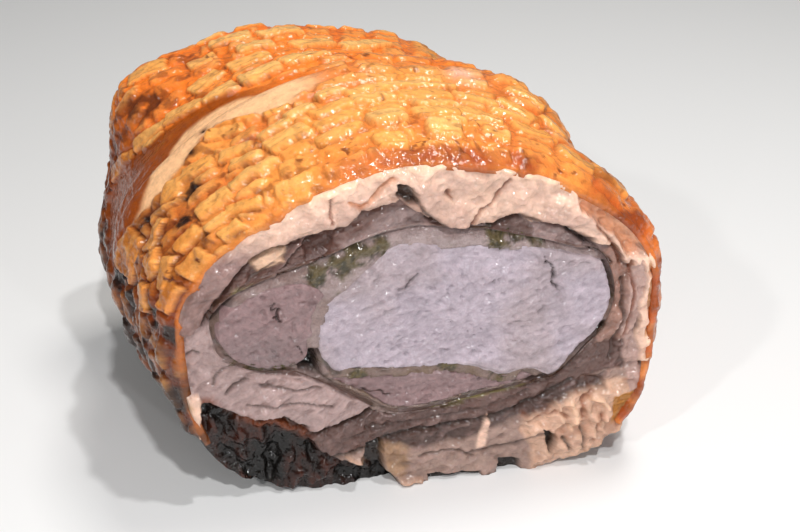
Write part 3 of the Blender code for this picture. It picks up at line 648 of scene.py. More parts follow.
# Lines on the cut: line, width, depth in mm and colour. The near-black and shade-dark lines in the grooves
# are painted shade.
MARKS = [
    ([(-79, 88)] + FAT[1:8], 1.2, 3.0, CREVICE_SHADE), (FAT[7:10], 0.8, 1.6, SHADE_DARK),
    ([(-32, 135), (-32.3, 131), (-31.6, 126)], 0.55, 1.4, CRUST_BROWN),
    ([(-25, 133), (-21, 131), (-14, 137), (-9, 141)], 0.8, 1.8, GLAZED_PINK),
    ([(18, 118), (22, 125), (28, 131), (32, 136)], 0.6, 1.8, CRUST_BROWN),
    ([(-2, 132), (1, 127), (5, 122)], 0.7, 1.6, SHADE_DARK),
    ([(10, 134), (11.5, 131)], 0.7, 1.2, CRUST_BROWN),
    ([(3.5, 122.8), (12.9, 117.3), (26.4, 117.9), (35.5, 121.1), (44.2, 117.3), (53.7, 114.1),
      (63.9, 107.5)], 1.0, 1.8, SHADE_DARK),
    ([(56, 112), (66, 104), (73, 96)], 0.7, 1.6, CREVICE_SHADE), ([(62, 107), (69, 98)], 0.8, 1.8, CREVICE_SHADE),
    ([(65, 114), (72, 106), (77, 96)], 0.7, 1.6, CRUST_BROWN),
    ([(78, 88), (80, 70), (76, 52)], 0.8, 1.8, SHADE_DARK),
    ([(-57, 97.6), (-52, 102.6), (-48, 107.6), (-43, 114.6), (-36, 118.6)], 0.6, 1.2, CREVICE_SHADE),
    ([(-57, 99), (-52, 104), (-48, 109), (-43, 116), (-36, 120), (-31, 123)], 0.6, -0.9, FAT_GREY_AND_SHADE),
    ([(-68, 97), (-60, 104), (-52, 110)], 0.7, 0.9, SHADE_DARK),
    ([(-64, 92), (-56, 97)], 0.6, 0.8, SHADE_DARK),
    ([(-73, 54), (-70, 58), (-65, 60)], 0.6, 1.0, SHADE_DARK),
    ([(-86, 74), (-83, 76), (-81, 75)], 0.5, 0.8, SHADE_DARK),
    ([(-78, 60), (-74, 66), (-69, 68)], 0.6, 0.6, SHADE_DARK),
    ([(-60, 57), (-48, 53), (-38, 53)], 0.7, 0.9, SHADE_DARK),
    ([(-66, 48), (-56, 46), (-46, 47), (-34, 43)], 0.6, 0.9, SHADE_DARK),
    ([(-52, 60), (-44, 57)], 0.6, 0.7, FAT_GREY_AND_SHADE),
    ([(-11, 37.5), (-18, 38.8), (-22, 36.6), (-30, 33.6), (-44, 29)], 0.9, 3.4, CREVICE_SHADE),
    ([(-49.7, 22.9)] + UNDER_LAYER[1:12], 0.9, 2.2, CREVICE_SHADE),
    ([(-20, 30), (0, 31), (24, 34), (44, 40)], 0.7, 1.0, SHADE_DARK),
    ([(-30, 26), (-10, 30)], 0.6, 0.8, SHADE_DARK),
    ([(-13, 39), (-4, 37.6), (10, 38.6), (28, 41.4), (42, 43)], 0.6, 1.2, OLIVE),
    ([(6, 37.4), (11, 36.2), (17, 38)], 0.8, 1.6, OLIVE),
    ([(20, 12), (40, 14), (52, 20)], 0.7, 1.2, SHADE_DARK),
    ([(0, 14), (14, 15), (22, 10)], 0.6, 0.9, SHADE_DARK), ([(58, 16), (60, 12), (62, 8)], 0.6, 2.6, CHAR_AND_SHADE_BLACK),
    ([(66.5, 18), (68, 7)], 0.6, 2.6, CHAR_AND_SHADE_BLACK), ([(44, 26), (54, 30), (60, 26)], 0.7, 2.0, CRUST_BROWN),
    ([(68, 35), (73, 33), (76, 28)], 1.0, -2.4, FAT_PEACH),
    ([(60, 34), (63, 27), (62, 19)], 1.2, -2.0, FAT_PEACH),
    ([(66, 31), (70, 24), (71, 15)], 1.1, -2.0, FRAY_PEACH),
    ([(69, 37), (65.5, 33), (66, 26)], 0.8, 2.4, CRUST_BROWN),
    ([(55, 33), (57, 24)], 1.0, -1.8, FRAY_PEACH), ([(74, 24), (76, 14), (74, 8)], 1.0, -1.8, FRAY_PEACH),
    ([(73, 26), (72.4, 12)], 0.6, 2.2, CRUST_BROWN), ([(80, 97), (83, 80), (81, 62)], 0.6, 1.4, CRUST_BROWN),
    ([(-28, 17), (-22, 13), (-20, 8), (-14, 3), (-8, 1.4), (0, 1.4)], 1.1, -3.0, FRAY_PEACH),
    ([(47, 44), (55, 46.4), (60, 52), (65, 58), (72.5, 67.5)], 1.5, 2.2, CREVICE_SHADE),
]
GLINTS = [
    [(-49.7, 22), (-34, 16.6), (-13.6, 23), (8.3, 25.8), (32.8, 29.4)], [(-69, 44.4), (-50, 43.6)],
    [(-50, 35), (-46, 30.6), (-38, 32.4), (-28, 34.6), (-18, 38)],
    [(28, 29), (40, 33)], [(-75, 92), (-66, 102)],
]
CHAR_FOLDS = [
    [(-62, 38), (-61, 23), (-63, 8)], [(-52, 33), (-52, 18), (-55, 3)], [(-70, 40), (-68, 22), (-69, 6)],
    [(-45, 27), (-46, 12), (-48, 0)], [(-78, 46), (-77, 32)], [(-36, 14), (-40, 6)],
]
HANGING_FAT = [
    (-91, 56), (-83, 56), (-81.5, 48), (-83.5, 40), (-83.5, 34), (-88.5, 35), (-86.5, 43), (-91, 47),
]
FACE_STEP = 0.75
RIND_SHOWN = 1.3
CARRIED_BACK = 8.0
STATIONS = [6.0, 25.0, 55.0, 82.0, 112.0, 142.0]


def closed_curve(points, step):
    """A smooth closed curve through the points, sampled about every step: four-point splines."""
    points = np.array(points, float)
    before, after, later = np.roll(points, 1, 0), np.roll(points, -1, 0), np.roll(points, -2, 0)
    samples = []
    for p, q, r, t in zip(before, points, after, later):
        part = np.arange(max(1, round(math.hypot(*(r - q)) / step)))[:, None]
        part = part / len(part)
        bend = (2 * p - 5 * q + 4 * r - t) * part**2 + (3 * (q - r) + t - p) * part**3
        samples.append(0.5 * (2 * q + (r - p) * part + bend))
    return np.concatenate(samples)


def from_line(u, v, line):
    """The distance from each point to a line of straight runs: the least over the runs."""
    line = np.array(line, float)
    nearest = np.full(np.shape(u), 1e9)
    for start, end in zip(line[:-1], line[1:]):
        run = end - start
        part = np.clip(((u - start[0]) * run[0] + (v - start[1]) * run[1]) / (run @ run), 0.0, 1.0)
        nearest = np.minimum(nearest, np.hypot(u - start[0] - part * run[0], v - start[1] - part * run[1]))
    return nearest


def ringed(points):
    """A line of points with its first one again at the end."""
    return np.concatenate([points, points[:1]])


def inside(u, v, outline, soft):
    """1 inside an outline and 0 outside, eased over a soft edge: distance, signed by counting crossings."""
    outline = np.array(outline, float)
    ends = np.roll(outline, -1, 0)
    odd = np.zeros(np.shape(u), bool)
    for (a, b), (c, d) in zip(outline, ends):
        if b != d:
            crossed = ((b > v) != (d > v)) & (u < (c - a) * (v - b) / (d - b) + a)
            odd = odd ^ crossed
    away = from_line(u, v, ringed(outline))
    return eased(0.5 + np.where(odd, away, -away) / soft)


def strokes(u, v, lines, width):
    """1 on any of some lines, falling off as a bell to either side."""
    return sum(bell(from_line(u, v, line) / width) for line in lines)


def faces_round(rows, next_rows):
    """Four-sided faces between numbered points in rows and the rows after them, all the way round."""
    turned, next_turned = np.roll(rows, -1, 1), np.roll(next_rows, -1, 1)
    return np.stack([rows, next_rows, next_turned, turned], -1).reshape(-1, 4).tolist()


def belly_face(u, v):
    """The belly's cut end: how far it stands forward, its colour and its wetness, layer by layer."""
    wu, wv = u + 1.2 * rough(u, v, 0.0, 6.0, 61.0), v + 1.2 * rough(u, v, 9.0, 6.0, 63.0)
    su, sv = u + 0.5 * rough(u, v, 3.0, 4.0, 62.0), v + 0.5 * rough(u, v, 6.0, 4.0, 64.0)
    fine = rough(u, v, 0.0, 2.4, 65.0)
    lumps = rough(u, v, 0.0, 12.0, 67.0)
    streaks = rough(0.35 * u + 0.5 * v, 1.1 * v - 0.9 * u, 0.0, 3.0, 69.0)
    soft_folds = rough(0.7 * u, 1.2 * v, 0.0, 5.0, 68.0)
    relief = np.full(u.shape, -2.0)
    tone = hue(BAND_GREY)
    for outline, soft, lift, colour in PATCHES:
        here = inside(wu, wv, outline, soft)
        relief = np.where(here > 0, relief * (1.0 - here) + (lift - 2.0) * here, relief)
        tone = blend(tone, hue(colour), here)
    fat = inside(wu, wv, FAT, 1.2)
    frayed = inside(wu, wv, FRAYED, 3.0)
    share = np.hypot(u - CENTRE_U, v - CENTRE_V) / rim_radius(np.arctan2(v - CENTRE_V, u - CENTRE_U))
    relief = relief + 1.1 * lumps + 0.40 * fine + 0.5 * streaks * (1.0 - 0.4 * fat) + 1.1 * fat * soft_folds
    relief = relief + 2.0 * frayed * rough(0.6 * u, v, 0.0, 5.0, 71.0)
    tone = painted(
        # Painted shade: the fat is greyed towards the lower left.
        tone, (FAT_GREY_AND_SHADE, fat * eased((-44.0 - u) / 22.0) * eased((126.0 - v) / 14.0)),
        (LEAN_BROWN, 0.55 * fat * eased((-68.0 - u) / 12.0) * eased(0.5 + streaks)),
        (FAT_CREAM, 0.35 * fat * eased((0.97 - share) / -0.03) * eased((-50.0 - u) / 20.0)),
        (FAT_GREY_AND_SHADE, 0.45 * fat * eased((0.93 - share) / 0.08) * eased(lumps + 0.6)),
        (LEAN_BROWN, 0.30 * fat * eased((from_line(u, v, FAT[:25]) - 3.5) / -3.0)),
        (FAT_PEACH, 0.8 * fat * eased((share - 0.93) / 0.06) * eased((u + 60.0) / 30.0)),
        (FAT_GREY_AND_SHADE, 0.35 * eased(streaks) * (1.0 - fat) * (1.0 - frayed)),
        (LEAN_BROWN, 0.40 * eased(-streaks) * (1.0 - fat) * (1.0 - 0.5 * frayed)),
        (CRUST_BROWN, 0.35 * frayed * eased(rough(u, v, 0.0, 6.0, 72.0) * 1.4 - 0.3)),
        # Painted shade: greyer in the dips of the fat's soft folds.
        (FAT_GREY_AND_SHADE, 0.3 * fat * eased(-soft_folds - 0.1)),
    )
    for outline, soft, depth, colour in PITS:
        here = inside(su, sv, outline, soft)
        relief = relief - depth * here
        tone = blend(tone, hue(colour), 0.95 * here)
    for line, width, depth, colour in MARKS:
        here = strokes(su, sv, [line], width)
        relief = relief - depth * here
        tone = blend(tone, hue(colour), 0.8 * here)
    # The lower-left corner is set back and painted black: char, with painted shade.
    char_and_shade = inside(wu, wv, CHAR_AND_SHADE_CORNER, 1.6)
    folds = held(strokes(u + 3.0 * lumps, v + 3.0 * streaks, CHAR_FOLDS, 2.6))
    ridges = rough(0.8 * u + 0.3 * v, 0.6 * v, 0.0, 7.0, 73.0)
    flakes = np.abs(rough(u, 0.35 * v, 4.0, 4.5, 74.0))
    relief = relief * (1.0 - char_and_shade) + char_and_shade * (-7.0 + 2.4 * folds + 2.4 * ridges - 1.2 * flakes)
    # Brown on the raised folds and ridges, blackest in the sunk flakes: char colours with painted light and
    # shade.
    char = painted(
        hue(CHAR_AND_SHADE_BLACK), (CHAR_BROWN, 0.9 * eased(ridges * 1.2 + 0.35) * (0.45 + 0.55 * folds)),
        (CHAR_AND_SHADE_BLACK, 0.8 * eased(flakes * 2.0 - 0.2)),
    )
    crust = strokes(wu, wv, [BURNT_EDGE], 2.0)
    relief = relief + (1.4 + 0.6 * ridges) * crust
    tone = painted(blend(tone, char, char_and_shade), (CRUST_BROWN, 0.85 * crust * eased(0.8 + ridges)))
    hanging = inside(wu, wv, HANGING_FAT, 1.0)
    relief = relief * (1.0 - hanging) + 0.4 * hanging
    tone = blend(tone, painted(hue(FAT_CREAM), (OCHRE, eased(0.3 + lumps))), hanging)
    glint = strokes(u, v, GLINTS, 0.8)
    tone = tone * (1.0 + 0.12 * fine + 0.12 * lumps)[..., None]
    wet = 0.5 + 0.2 * lumps + 0.25 * fine + 0.5 * glint
    return relief + 0.35 * glint * fine, held(tone), held(wet)


def browned_end(u, v):
    """The far end of the roll: roasted brown, with the rolled layers as rings that show through."""
    ring = np.hypot((u - CENTRE_U) / HALF_WIDTH, (v - CENTRE_V) / TOP_HEIGHT)
    layers = np.sin(28.0 * ring + 1.5 * rough(u, v, 20.0, 18.0, 75.0))
    relief = 0.9 * layers + 1.3 * rough(u, v, 20.0, 9.0, 77.0)
    tone = painted(
        hue(BROWNED), (OCHRE, 0.6 * eased(0.4 * layers + 0.3)),
        (FAT_PEACH, 0.4 * eased((ring - 0.86) / 0.06)),
        (SINGED_AND_SHADE, eased(rough(u, v, 20.0, 14.0, 79.0) * 1.4 - 0.1)),
    )
    return relief, held(tone * (1.0 + 0.12 * rough(u, v, 20.0, 2.4, 81.0)[..., None]))


def tin_side(angle, s):
    """The underside, which has no rind: black on the left, char with painted shade, brown elsewhere, creased
    along the roll.
    """
    degrees = np.degrees(angle) % 360.0
    creases = rough(degrees * MM_PER_DEG, 0.35 * s, 0.0, 9.0, 83.0)
    tone = painted(
        hue(TIN_BROWN), (CHAR_AND_SHADE_BLACK, eased((262.0 - degrees) / 18.0 + 0.6 * creases)),
        (OCHRE, 0.4 * eased((degrees - 316.0) / 12.0) * eased(0.5 + creases)),
    )
    return 1.3 * creases + 0.5 * rough(degrees * MM_PER_DEG, s, 0.0, 3.0, 85.0), tone


def belly_inside(material):
    """The fat and lean: rows under the rind or the tin side, over the far end, the hollow and the cut."""
    angle = equal_steps(-90.0, 270.0, FACE_STEP)[:-1]
    hollow = closed_curve(CAVITY, 1.0)
    turned = np.arctan2(hollow[:, 1] - CENTRE_V, hollow[:, 0] - CENTRE_U)
    order = np.argsort(turned)
    inner = np.interp(
        (angle + math.pi) % (2 * math.pi) - math.pi, turned[order],
        np.hypot(hollow[:, 0] - CENTRE_U, hollow[:, 1] - CENTRE_V)[order], period=2 * math.pi,
    )
    rind = skin_here(angle)
    outer = rim_radius(angle) - RIND_SHOWN * rind
    walls = np.array([1.5, 3, 5, 8, 12, 18, 26, 36, 48, 60, 72, 82, 92, 104, 118, 132, 146, 156, 163], float)
    back = np.array(STATIONS + [158.0])
    far = np.linspace(0.0, 1.0, 34)[1:-1, None]
    near = np.linspace(0.0, 1.0, 62)[:, None]
    creased, tin_tone = tin_side(angle[None, :], walls[:, None])
    radius = np.concatenate([
        outer - 1.2 * rind + creased * (1.0 - rind) * eased(walls / 5.0)[:, None],
        (outer - 1.2) * (1 - far) + inner * far,
        np.tile(inner, (len(back), 1)),
        inner * (1 - near) + outer * near,
    ])
    s = np.concatenate([walls, np.full(len(far), LENGTH), back[::-1], np.zeros(len(near))])[:, None]
    s = s * np.ones(radius.shape)
    u, v = on_ray(angle, radius)
    points = place(u, v, s)
    relief, tone, wet = belly_face(u, v)
    edge = np.minimum(radius - inner, (outer - radius) + 3.0 * (1.0 - rind))
    relief = relief * eased(edge / 2.0 + 0.35) - 0.8 * (1.0 - eased(edge / 1.6))
    carried = relief[-1] * (1.0 - rind) * np.exp(-s / CARRIED_BACK)
    rear_relief, rear_tone = browned_end(u, v)
    on_wall = np.arange(len(s))[:, None] < len(walls)
    at_rear = s == LENGTH
    behind_cut = np.where(at_rear, rear_relief, np.where(on_wall, -carried, 0.0))
    points[..., 1] += np.where(s == 0.0, -relief, behind_cut)
    points[..., 2] = np.maximum(points[..., 2], 0.0)
    tone = np.where(at_rear[..., None], rear_tone, tone)
    fresh = np.exp(-walls / 4.0)[:, None, None]
    tone[:len(walls)] = tin_tone * (1.0 - fresh) + tone[-1] * fresh
    index = np.arange(radius.size).reshape(radius.shape)
    faces = faces_round(index, np.roll(index, -1, 0))
    return new_piece("belly_fat_and_lean", points, faces, tone, wet, material, "belly_wrap", "crackling")


roast_fat = cooked("roast_fat", 0.42, 0.12, (1.0, 0.5, 0.3), 0.8, 0.12, 0.35, 1000.0, 0.14, 4.0, 2.8)
belly_inside(roast_fat)


# The loin, and the two smaller muscles beside and under it: lean pork roasted through to a pale
# lilac grey, close-grained and wet where the knife crossed them. The roll holds them in place.
LOIN = [
    (73.3, 80), (71, 92), (66, 99.3), (57, 102.5), (45, 106.6), (29, 109.5), (18, 112), (8, 111.6),
    (-2.6, 114), (-11, 112.4), (-18, 105), (-26, 98.5), (-33, 92), (-37, 83), (-37.6, 72), (-33, 61.6),
    (-20, 59.6), (0, 57.9), (17, 57.1), (26, 53.2), (33, 50.4), (42, 52.6), (51, 48.4), (56, 52),
    (62.5, 61), (70, 70),
]
FLANK = [
    (-40.4, 84), (-38, 92), (-36.4, 98), (-45.6, 101.8), (-59.6, 98.4), (-67, 94.6), (-73, 88), (-73.4, 80),
    (-70.4, 73), (-62, 66.4), (-50, 65), (-43, 69.5), (-41.2, 76),
]
STRIP = [
    (47.6, 47.3), (42, 50.2), (33, 48), (24.5, 51.4), (16, 55), (0, 55.9), (-20, 57.7), (-35.4, 58.6),
    (-31, 54), (-21.5, 47.4), (-12.5, 40.3), (0, 38.7), (16.5, 41.8), (34, 44.4),
]
LOIN_CRACKS = [[(46.4, 103), (47.6, 97.5), (49.4, 94), (50, 90), (52.6, 85)], [(-6, 95), (-3, 99), (-1, 101)]]
FLANK_CRACKS = [[(-54, 94), (-52.5, 90.5), (-52, 86)], [(-46, 74), (-44.5, 71)]]
STRIP_CRACKS = [[(-24, 52), (-12, 47)]]
LOIN_LILAC = (183, 168, 178)
LOIN_RIGHT = (170, 153, 157)
FLANK_GREY = (130, 108, 108)
STRIP_PINK = (142, 114, 114)
REAR_ROWS = 16


def meat(name, outline, middle, relief_and_tone, material, node, slot_name, step, rows):
    """A muscle run through the roll: rows over the cut, along its side and over the far end to a point."""
    edge = closed_curve(outline, step)
    edge = edge + 0.5 * rough(edge[:, :1], edge[:, 1:], np.array([[0.0, 30.0]]), 5.0, 95.0)
    out, back = np.linspace(0.0, 1.0, rows), np.linspace(1.0, 0.0, REAR_ROWS)
    share = np.concatenate([out, np.ones(len(STATIONS)), back])[:, None]
    s = np.concatenate([np.zeros(rows), STATIONS, np.full(REAR_ROWS, LENGTH)])[:, None]
    s = s * np.ones((1, len(edge)))
    u = middle[0] + share * (edge[:, 0] - middle[0])
    v = middle[1] + share * (edge[:, 1] - middle[1])
    points = place(u, v, s)
    relief, tone, wet = relief_and_tone(u, v)
    rim = from_line(u, v, ringed(edge[::3]))
    relief = relief - (0.3 + 0.7 * eased((68.0 - v) / 10.0)) * (1.0 - eased(rim / 1.6))
    rear_relief, rear_tone = browned_end(u, v)
    rear_relief = 0.6 * rear_relief - 1.2 * (1.0 - eased(rim / 3.0))
    points[..., 1] += np.where(s == 0.0, -relief, np.where(s == LENGTH, rear_relief, 0.0))
    tone = np.where((s == LENGTH)[..., None], rear_tone, tone)
    count = len(edge)
    index = np.arange(s.size).reshape(s.shape) - count + 1
    index[0], index[-1] = 0, (len(s) - 2) * count + 1
    faces = [tuple(dict.fromkeys(face)) for face in faces_round(index[:-1], index[1:])]
    kept = np.concatenate([[0], np.arange(count, (len(s) - 1) * count + 1)])
    return new_piece(name, points, faces, tone, wet, material, node, slot_name, kept)


def muscle(base, second, shift, cracks, direction, lift):
    """A cut muscle's face: slow swells, fibres along one direction, a few cracks, two colours that drift."""
    def face(u, v):
        along = u * math.cos(direction) + v * math.sin(direction)
        across = v * math.cos(direction) - u * math.sin(direction)
        fibres = rough(0.25 * along, across, 0.0, 2.6, shift)
        swells = rough(u, v, 0.0, 22.0, shift + 2.0)
        fine = rough(u, v, 0.0, 1.8, shift + 4.0, 2)
        jagged = 1.6 * rough(u, v, 0.0, 3.4, shift + 6.0)
        grains = rough(u, v, 0.0, 1.3, shift + 7.0, 1)
        split = strokes(u + jagged, v + 0.5 * jagged, cracks, 0.34 + 0.25 * drawn(shift) * fine)
        pores = eased((rough(u, v, 0.0, 2.6, shift + 8.0, 2) - 0.62) / 0.25)
        relief = lift + 1.1 * swells + 0.28 * fibres + 0.22 * fine + 0.14 * grains
        relief = relief - 2.0 * np.minimum(split, 1.0) - 0.5 * pores
        tone = painted(hue(base), (second, eased(0.5 + 0.8 * swells)))
        shade = 1.0 + 0.10 * fibres + 0.08 * fine + 0.08 * grains + 0.06 * swells - 0.15 * pores
        tone = painted(
            tone * shade[..., None],
            (SHADE_DARK, 0.30 * held(strokes(u, v, cracks, 3.0)) * eased(fibres + 0.6)),
            # Painted shade: the sunk cracks are painted near-black.
            (CREVICE_SHADE, 0.9 * np.minimum(split, 1.0)),
        )
        return relief, held(tone), held(0.55 + 0.3 * swells + 0.3 * fine)
    return face


roast_lean = cooked("roast_lean", 0.40, 0.12, (1.0, 0.5, 0.45), 0.95, 0.18, 0.45, 1300.0, 0.14, 4.2, 4.4)
meat("loin_eye", LOIN, (16, 81), muscle(LOIN_LILAC, LOIN_RIGHT, 91.0, LOIN_CRACKS, 0.4, 0.6),
     roast_lean, "loin", "loin_meat", 0.72, 70)
meat("loin_side", FLANK, (-55.5, 83), muscle(FLANK_GREY, STRIP_PINK, 111.0, FLANK_CRACKS, 0.5, 0.2),
     roast_lean, "loin_flank", "flank_meat", 0.6, 40)
meat("lower_strip", STRIP, (5, 48.4), muscle(STRIP_PINK, FLANK_GREY, 131.0, STRIP_CRACKS, 0.05, 0.0),
     roast_lean, "under_strip", "strip_meat", 0.6, 40)


# The stuffing: chopped herbs, set in the juices that jellied between the meats and the belly. It
# shows as a green and grey line round each muscle, sunk below the cut, with a hole beside the loin.
# The hole and the deep gaps are painted near-black: painted shade.
STUFFING_STEP = 0.8
OUTLINE_STEP = 4.0
HARD_EDGE = 0.01
OVERLAP = 1.2
HOLE = [(-46.4, 72.3), (-38.7, 71.7), (-37.8, 58.2), (-45.4, 62.5)]
HERB_CLUMPS = [
    (-22, 111, 5), (-29, 107, 4), (-38, 103, 4), (-14, 114, 4), (-66, 72, 4), (-60, 66, 4), (-52, 65, 4),
    (28, 113, 4), (38, 114, 5), (46, 110, 4), (70, 82, 5), (64, 74, 4), (-24, 57, 4), (10, 57, 4),
    (30, 51, 4),
]
GAPS = [
    [(53, 47), (59, 55), (66, 63), (72, 67)], [(70, 95), (73, 89), (74.4, 83), (73.4, 78)],
    [(40, 48.5), (45, 45.5), (51, 46)], [(-76, 90), (-70, 97)],
]
HERB_GREEN = (86, 74, 34)
HERB_BROWN = (112, 90, 68)
HERB_DARK = (44, 40, 24)
JELLY = (168, 148, 146)
JELLY_SHADE = (138, 114, 108)
# Near-black painted shade for the stuffing's hole and gaps.
PIT_SHADE = (14, 12, 10)


def stuffing_face(u, v):
    """The stuffing's surface: sunk between the meats, lumpy with herbs, deepest in the hole."""
    hole = inside(u, v, HOLE, 2.4)
    lumps = rough(u, v, 0.0, 3.2, 141.0)
    ragged = rough(u, v, 0.0, 7.0, 142.0)
    fine = rough(u, v, 0.0, 1.6, 143.0, 2)
    clump = sum(np.exp(-(((u - a) ** 2 + (v - b) ** 2) / r**2)) for a, b, r in HERB_CLUMPS)
    beside = 0.9 * bell((u + 40.0) / 6.0) * eased((v - 66.0) / 8.0)
    upper = np.maximum(eased((v - 88.0) / 10.0), beside)
    seam = np.minimum.reduce([from_line(u, v, ringed(line)) for line in (LOIN, FLANK, STRIP)])
    thread = bell((seam - 1.0) / (0.7 + 0.4 * ragged)) * (1.0 - upper) * eased(0.4 + ragged)
    gap = np.minimum(strokes(u, v, GAPS, 1.5 + 0.6 * ragged), 1.0)
    rim = from_line(u, v, ringed(CAVITY)) * (inside(u, v, CAVITY, HARD_EDGE) > 0.5)
    relief = 0.1 + 0.5 * ragged + 0.5 * lumps * (0.4 + clump) - 1.4 * thread - 3.0 * (1.0 - eased(rim / 3.6))
    relief = relief - 9.0 * hole - 5.0 * gap
    tone = painted(
        hue(HERB_BROWN), (JELLY_SHADE, 0.75 + 0.5 * ragged), (JELLY, upper + 0.5 * eased(ragged - 0.1)),
        (JELLY_SHADE, 0.5 * eased(-lumps + 0.1) + 0.55 * upper * eased((-30.0 - u) / 12.0)),
        (LEAN_BROWN, 0.6 * (1.0 - eased(rim / 2.2)) * upper),
        (HERB_GREEN, 0.9 * eased(1.3 * clump + 0.8 * lumps - 0.1) * eased(clump * 2.6 + ragged)),
        (HERB_DARK, 0.75 * thread),
        (HERB_DARK, 0.75 * eased((fine - 0.2) / 0.3) * eased(clump * 1.6 + 0.1 * ragged)),
        # Painted shade: the deep hole and gaps are painted near-black.
        (PIT_SHADE, hole + gap),
    )
    return relief, tone, held(0.75 + 0.2 * lumps)


def stuffing_web(material):
    """The web: cells of a square grid that lie in the hollow and outside the meats, front, back and walls.

    Each cell's corners run back through the roll at a few stations; a wall stands on every cell
    edge that has a filled cell on one side only.
    """
    us = np.arange(-80.0, 80.0, STUFFING_STEP)
    vs = np.arange(32.0, 124.0, STUFFING_STEP)
    mid_u, mid_v = np.meshgrid(us[:-1] + STUFFING_STEP / 2, vs[:-1] + STUFFING_STEP / 2)
    wall = closed_curve(CAVITY, OUTLINE_STEP)
    filled = inside(mid_u, mid_v, wall, HARD_EDGE) > 0.5
    filled = filled | (from_line(mid_u, mid_v, ringed(wall)) < OVERLAP)
    for outline in (LOIN, FLANK, STRIP):
        edge = closed_curve(outline, OUTLINE_STEP)
        deep = from_line(mid_u, mid_v, ringed(edge)) > OVERLAP
        filled = filled & ~((inside(mid_u, mid_v, edge, HARD_EDGE) > 0.5) & deep)
    stations = np.array([0.0, 12.0, 30.0, 55.0, 82.0, 112.0, 142.0, LENGTH])
    corner_u, corner_v = np.meshgrid(us, vs)
    rows, columns = corner_u.shape
    relief, tone, wet = stuffing_face(corner_u, corner_v)
    sheets = place(corner_u[None], corner_v[None], stations[:, None, None] + 0.0 * corner_u[None])
    sheets[0, ..., 1] -= relief
    rear_relief, rear_tone = browned_end(corner_u, corner_v)
    sheets[-1, ..., 1] += 0.5 * rear_relief - 1.5
    index = np.arange(sheets[..., 0].size).reshape(len(stations), rows, columns)
    row, column = np.nonzero(filled)
    faces = [
        np.stack([index[level, row + a, column + b] for a, b in corners], -1)
        for level, corners in ((0, ((0, 0), (0, 1), (1, 1), (1, 0))), (-1, ((0, 0), (1, 0), (1, 1), (0, 1))))
    ]
    padded = np.pad(filled, 1)
    here = padded[1:-1, 1:-1]
    sides = {
        (0, 0, 0, 1): here & ~padded[:-2, 1:-1], (1, 1, 1, 0): here & ~padded[2:, 1:-1],
        (1, 0, 0, 0): here & ~padded[1:-1, :-2], (0, 1, 1, 1): here & ~padded[1:-1, 2:],
    }
    for (row_a, column_a, row_b, column_b), open_side in sides.items():
        row, column = np.nonzero(open_side)
        for level in range(len(stations) - 1):
            a = index[level, row + row_a, column + column_a]
            b = index[level, row + row_b, column + column_b]
            c = index[level + 1, row + row_b, column + column_b]
            d = index[level + 1, row + row_a, column + column_a]
            faces.append(np.stack([a, d, c, b], -1))
    faces = np.concatenate(faces)
    used, faces = np.unique(faces, return_inverse=True)
    faces = faces.reshape(-1, 4)
    tones = np.broadcast_to(tone, sheets.shape).copy()
    tones[-1] = rear_tone
    wets = np.broadcast_to(wet, sheets.shape[:-1])
    return new_piece(
        "herb_stuffing", sheets, faces.tolist(), tones, wets, material, "herb_filling", "herb_filling", used
    )


stuffing = cooked("herb_stuffing", 0.34, 0.08, (1.0, 0.6, 0.4), 0.95, 0.11, 0.6, 1300.0, 0.22, 4.0, 3.8)
stuffing_web(stuffing)


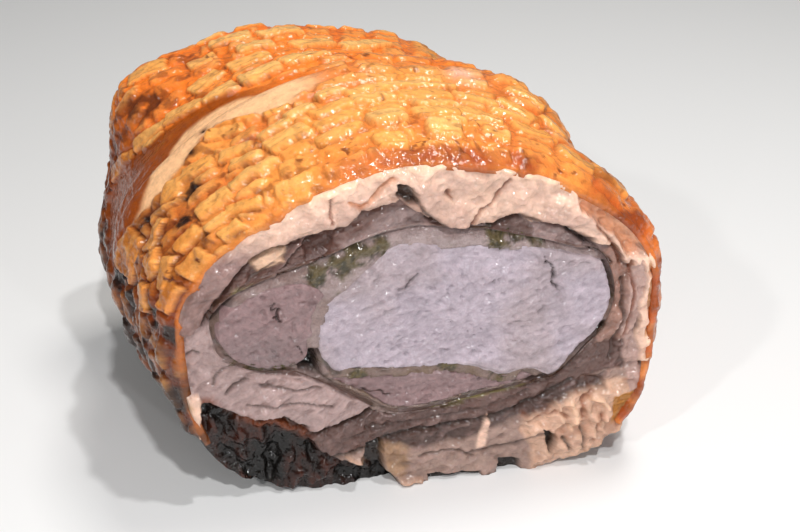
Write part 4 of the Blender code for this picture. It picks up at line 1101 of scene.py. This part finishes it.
# The table, the lights and the camera: a plain pale floor, soft light from above and in front, small
# bright lamps whose glints show the wet glaze, and the photograph's own view from the left and above.
LOOK_AT = (-0.002025, -0.074868, 0.073075)
STANDS_AT = (-0.171442, -0.455388, 0.348769)
LENS = 58.89
SHIFT = (-0.0254, 0.0874)
FLOOR_SPAN = 3.0
FLOOR_WHITE = 0.84
ROOM_LIGHT = 0.13
LAMPS = [
    ("overhead", (0.30, 0.05, 1.15), (0.0, 0.0, 0.08), 0.30, 5.2, (1.0, 0.98, 0.94)),
    ("front_fill", (0.15, -1.15, 0.65), (0.0, -0.05, 0.08), 0.4, 1.0, (0.95, 0.96, 1.0)),
    ("sparkle", (-0.12, -0.62, 0.95), (0.0, 0.0, 0.1), 0.045, 4.4, (1.0, 1.0, 1.0)),
    ("sparkle_left", (-0.62, -0.45, 0.70), (0.0, 0.0, 0.1), 0.04, 1.6, (1.0, 0.98, 0.95)),
    ("sparkle_high", (0.18, -0.28, 1.10), (0.0, 0.0, 0.1), 0.045, 3.2, (1.0, 1.0, 1.0)),
    ("sparkle_low", (0.05, -0.85, 0.20), (0.0, 0.0, 0.08), 0.03, 1.3, (0.97, 0.98, 1.0)),
    ("sparkle_low_left", (-0.50, -0.70, 0.16), (0.0, 0.0, 0.08), 0.03, 0.45, (0.97, 0.98, 1.0)),
]


def set_up(name, thing, stands_at, faces_point):
    """Puts a lamp or a camera in its place, tilted from straight down and then turned to face a point."""
    holder = bpy.data.objects.new(name, thing)
    holder.location = stands_at
    run = np.array(stands_at) - np.array(faces_point)
    tilt = math.atan2(math.hypot(run[0], run[1]), run[2])
    holder.rotation_euler = (tilt, 0.0, math.atan2(run[1], run[0]) + math.pi / 2)
    bpy.context.scene.collection.objects.link(holder)
    return holder


floor_mesh = bpy.data.meshes.new("table_top")
half = FLOOR_SPAN / 2
corners = [(-half, -half, 0), (half, -half, 0), (half, half, 0), (-half, half, 0)]
floor_mesh.from_pydata(corners, [], [(0, 1, 2, 3)])
floor = bpy.data.objects.new("table_top", floor_mesh)
bpy.context.scene.collection.objects.link(floor)
plain = bpy.data.materials.new("plain_pale")
plain.use_nodes = True
plain.node_tree.nodes["Principled BSDF"].inputs["Base Color"].default_value = (*[FLOOR_WHITE] * 3, 1.0)
plain.node_tree.nodes["Principled BSDF"].inputs["Roughness"].default_value = 0.7
floor_mesh.materials.append(plain)

world = bpy.data.worlds.new("studio")
world.use_nodes = True
world.node_tree.nodes["Background"].inputs["Color"].default_value = (1.0, 1.0, 1.0, 1.0)
world.node_tree.nodes["Background"].inputs["Strength"].default_value = ROOM_LIGHT
bpy.context.scene.world = world

for name, stands_at, faces_point, size, power, colour in LAMPS:
    lamp = bpy.data.lights.new(name, "AREA")
    lamp.size = size
    lamp.energy = power
    lamp.color = colour
    set_up(name, lamp, stands_at, faces_point)

eye = bpy.data.cameras.new("eye")
eye.lens = LENS
eye.shift_x, eye.shift_y = SHIFT
bpy.context.scene.camera = set_up("eye", eye, STANDS_AT, LOOK_AT)
bpy.context.scene.view_settings.view_transform = "Standard"
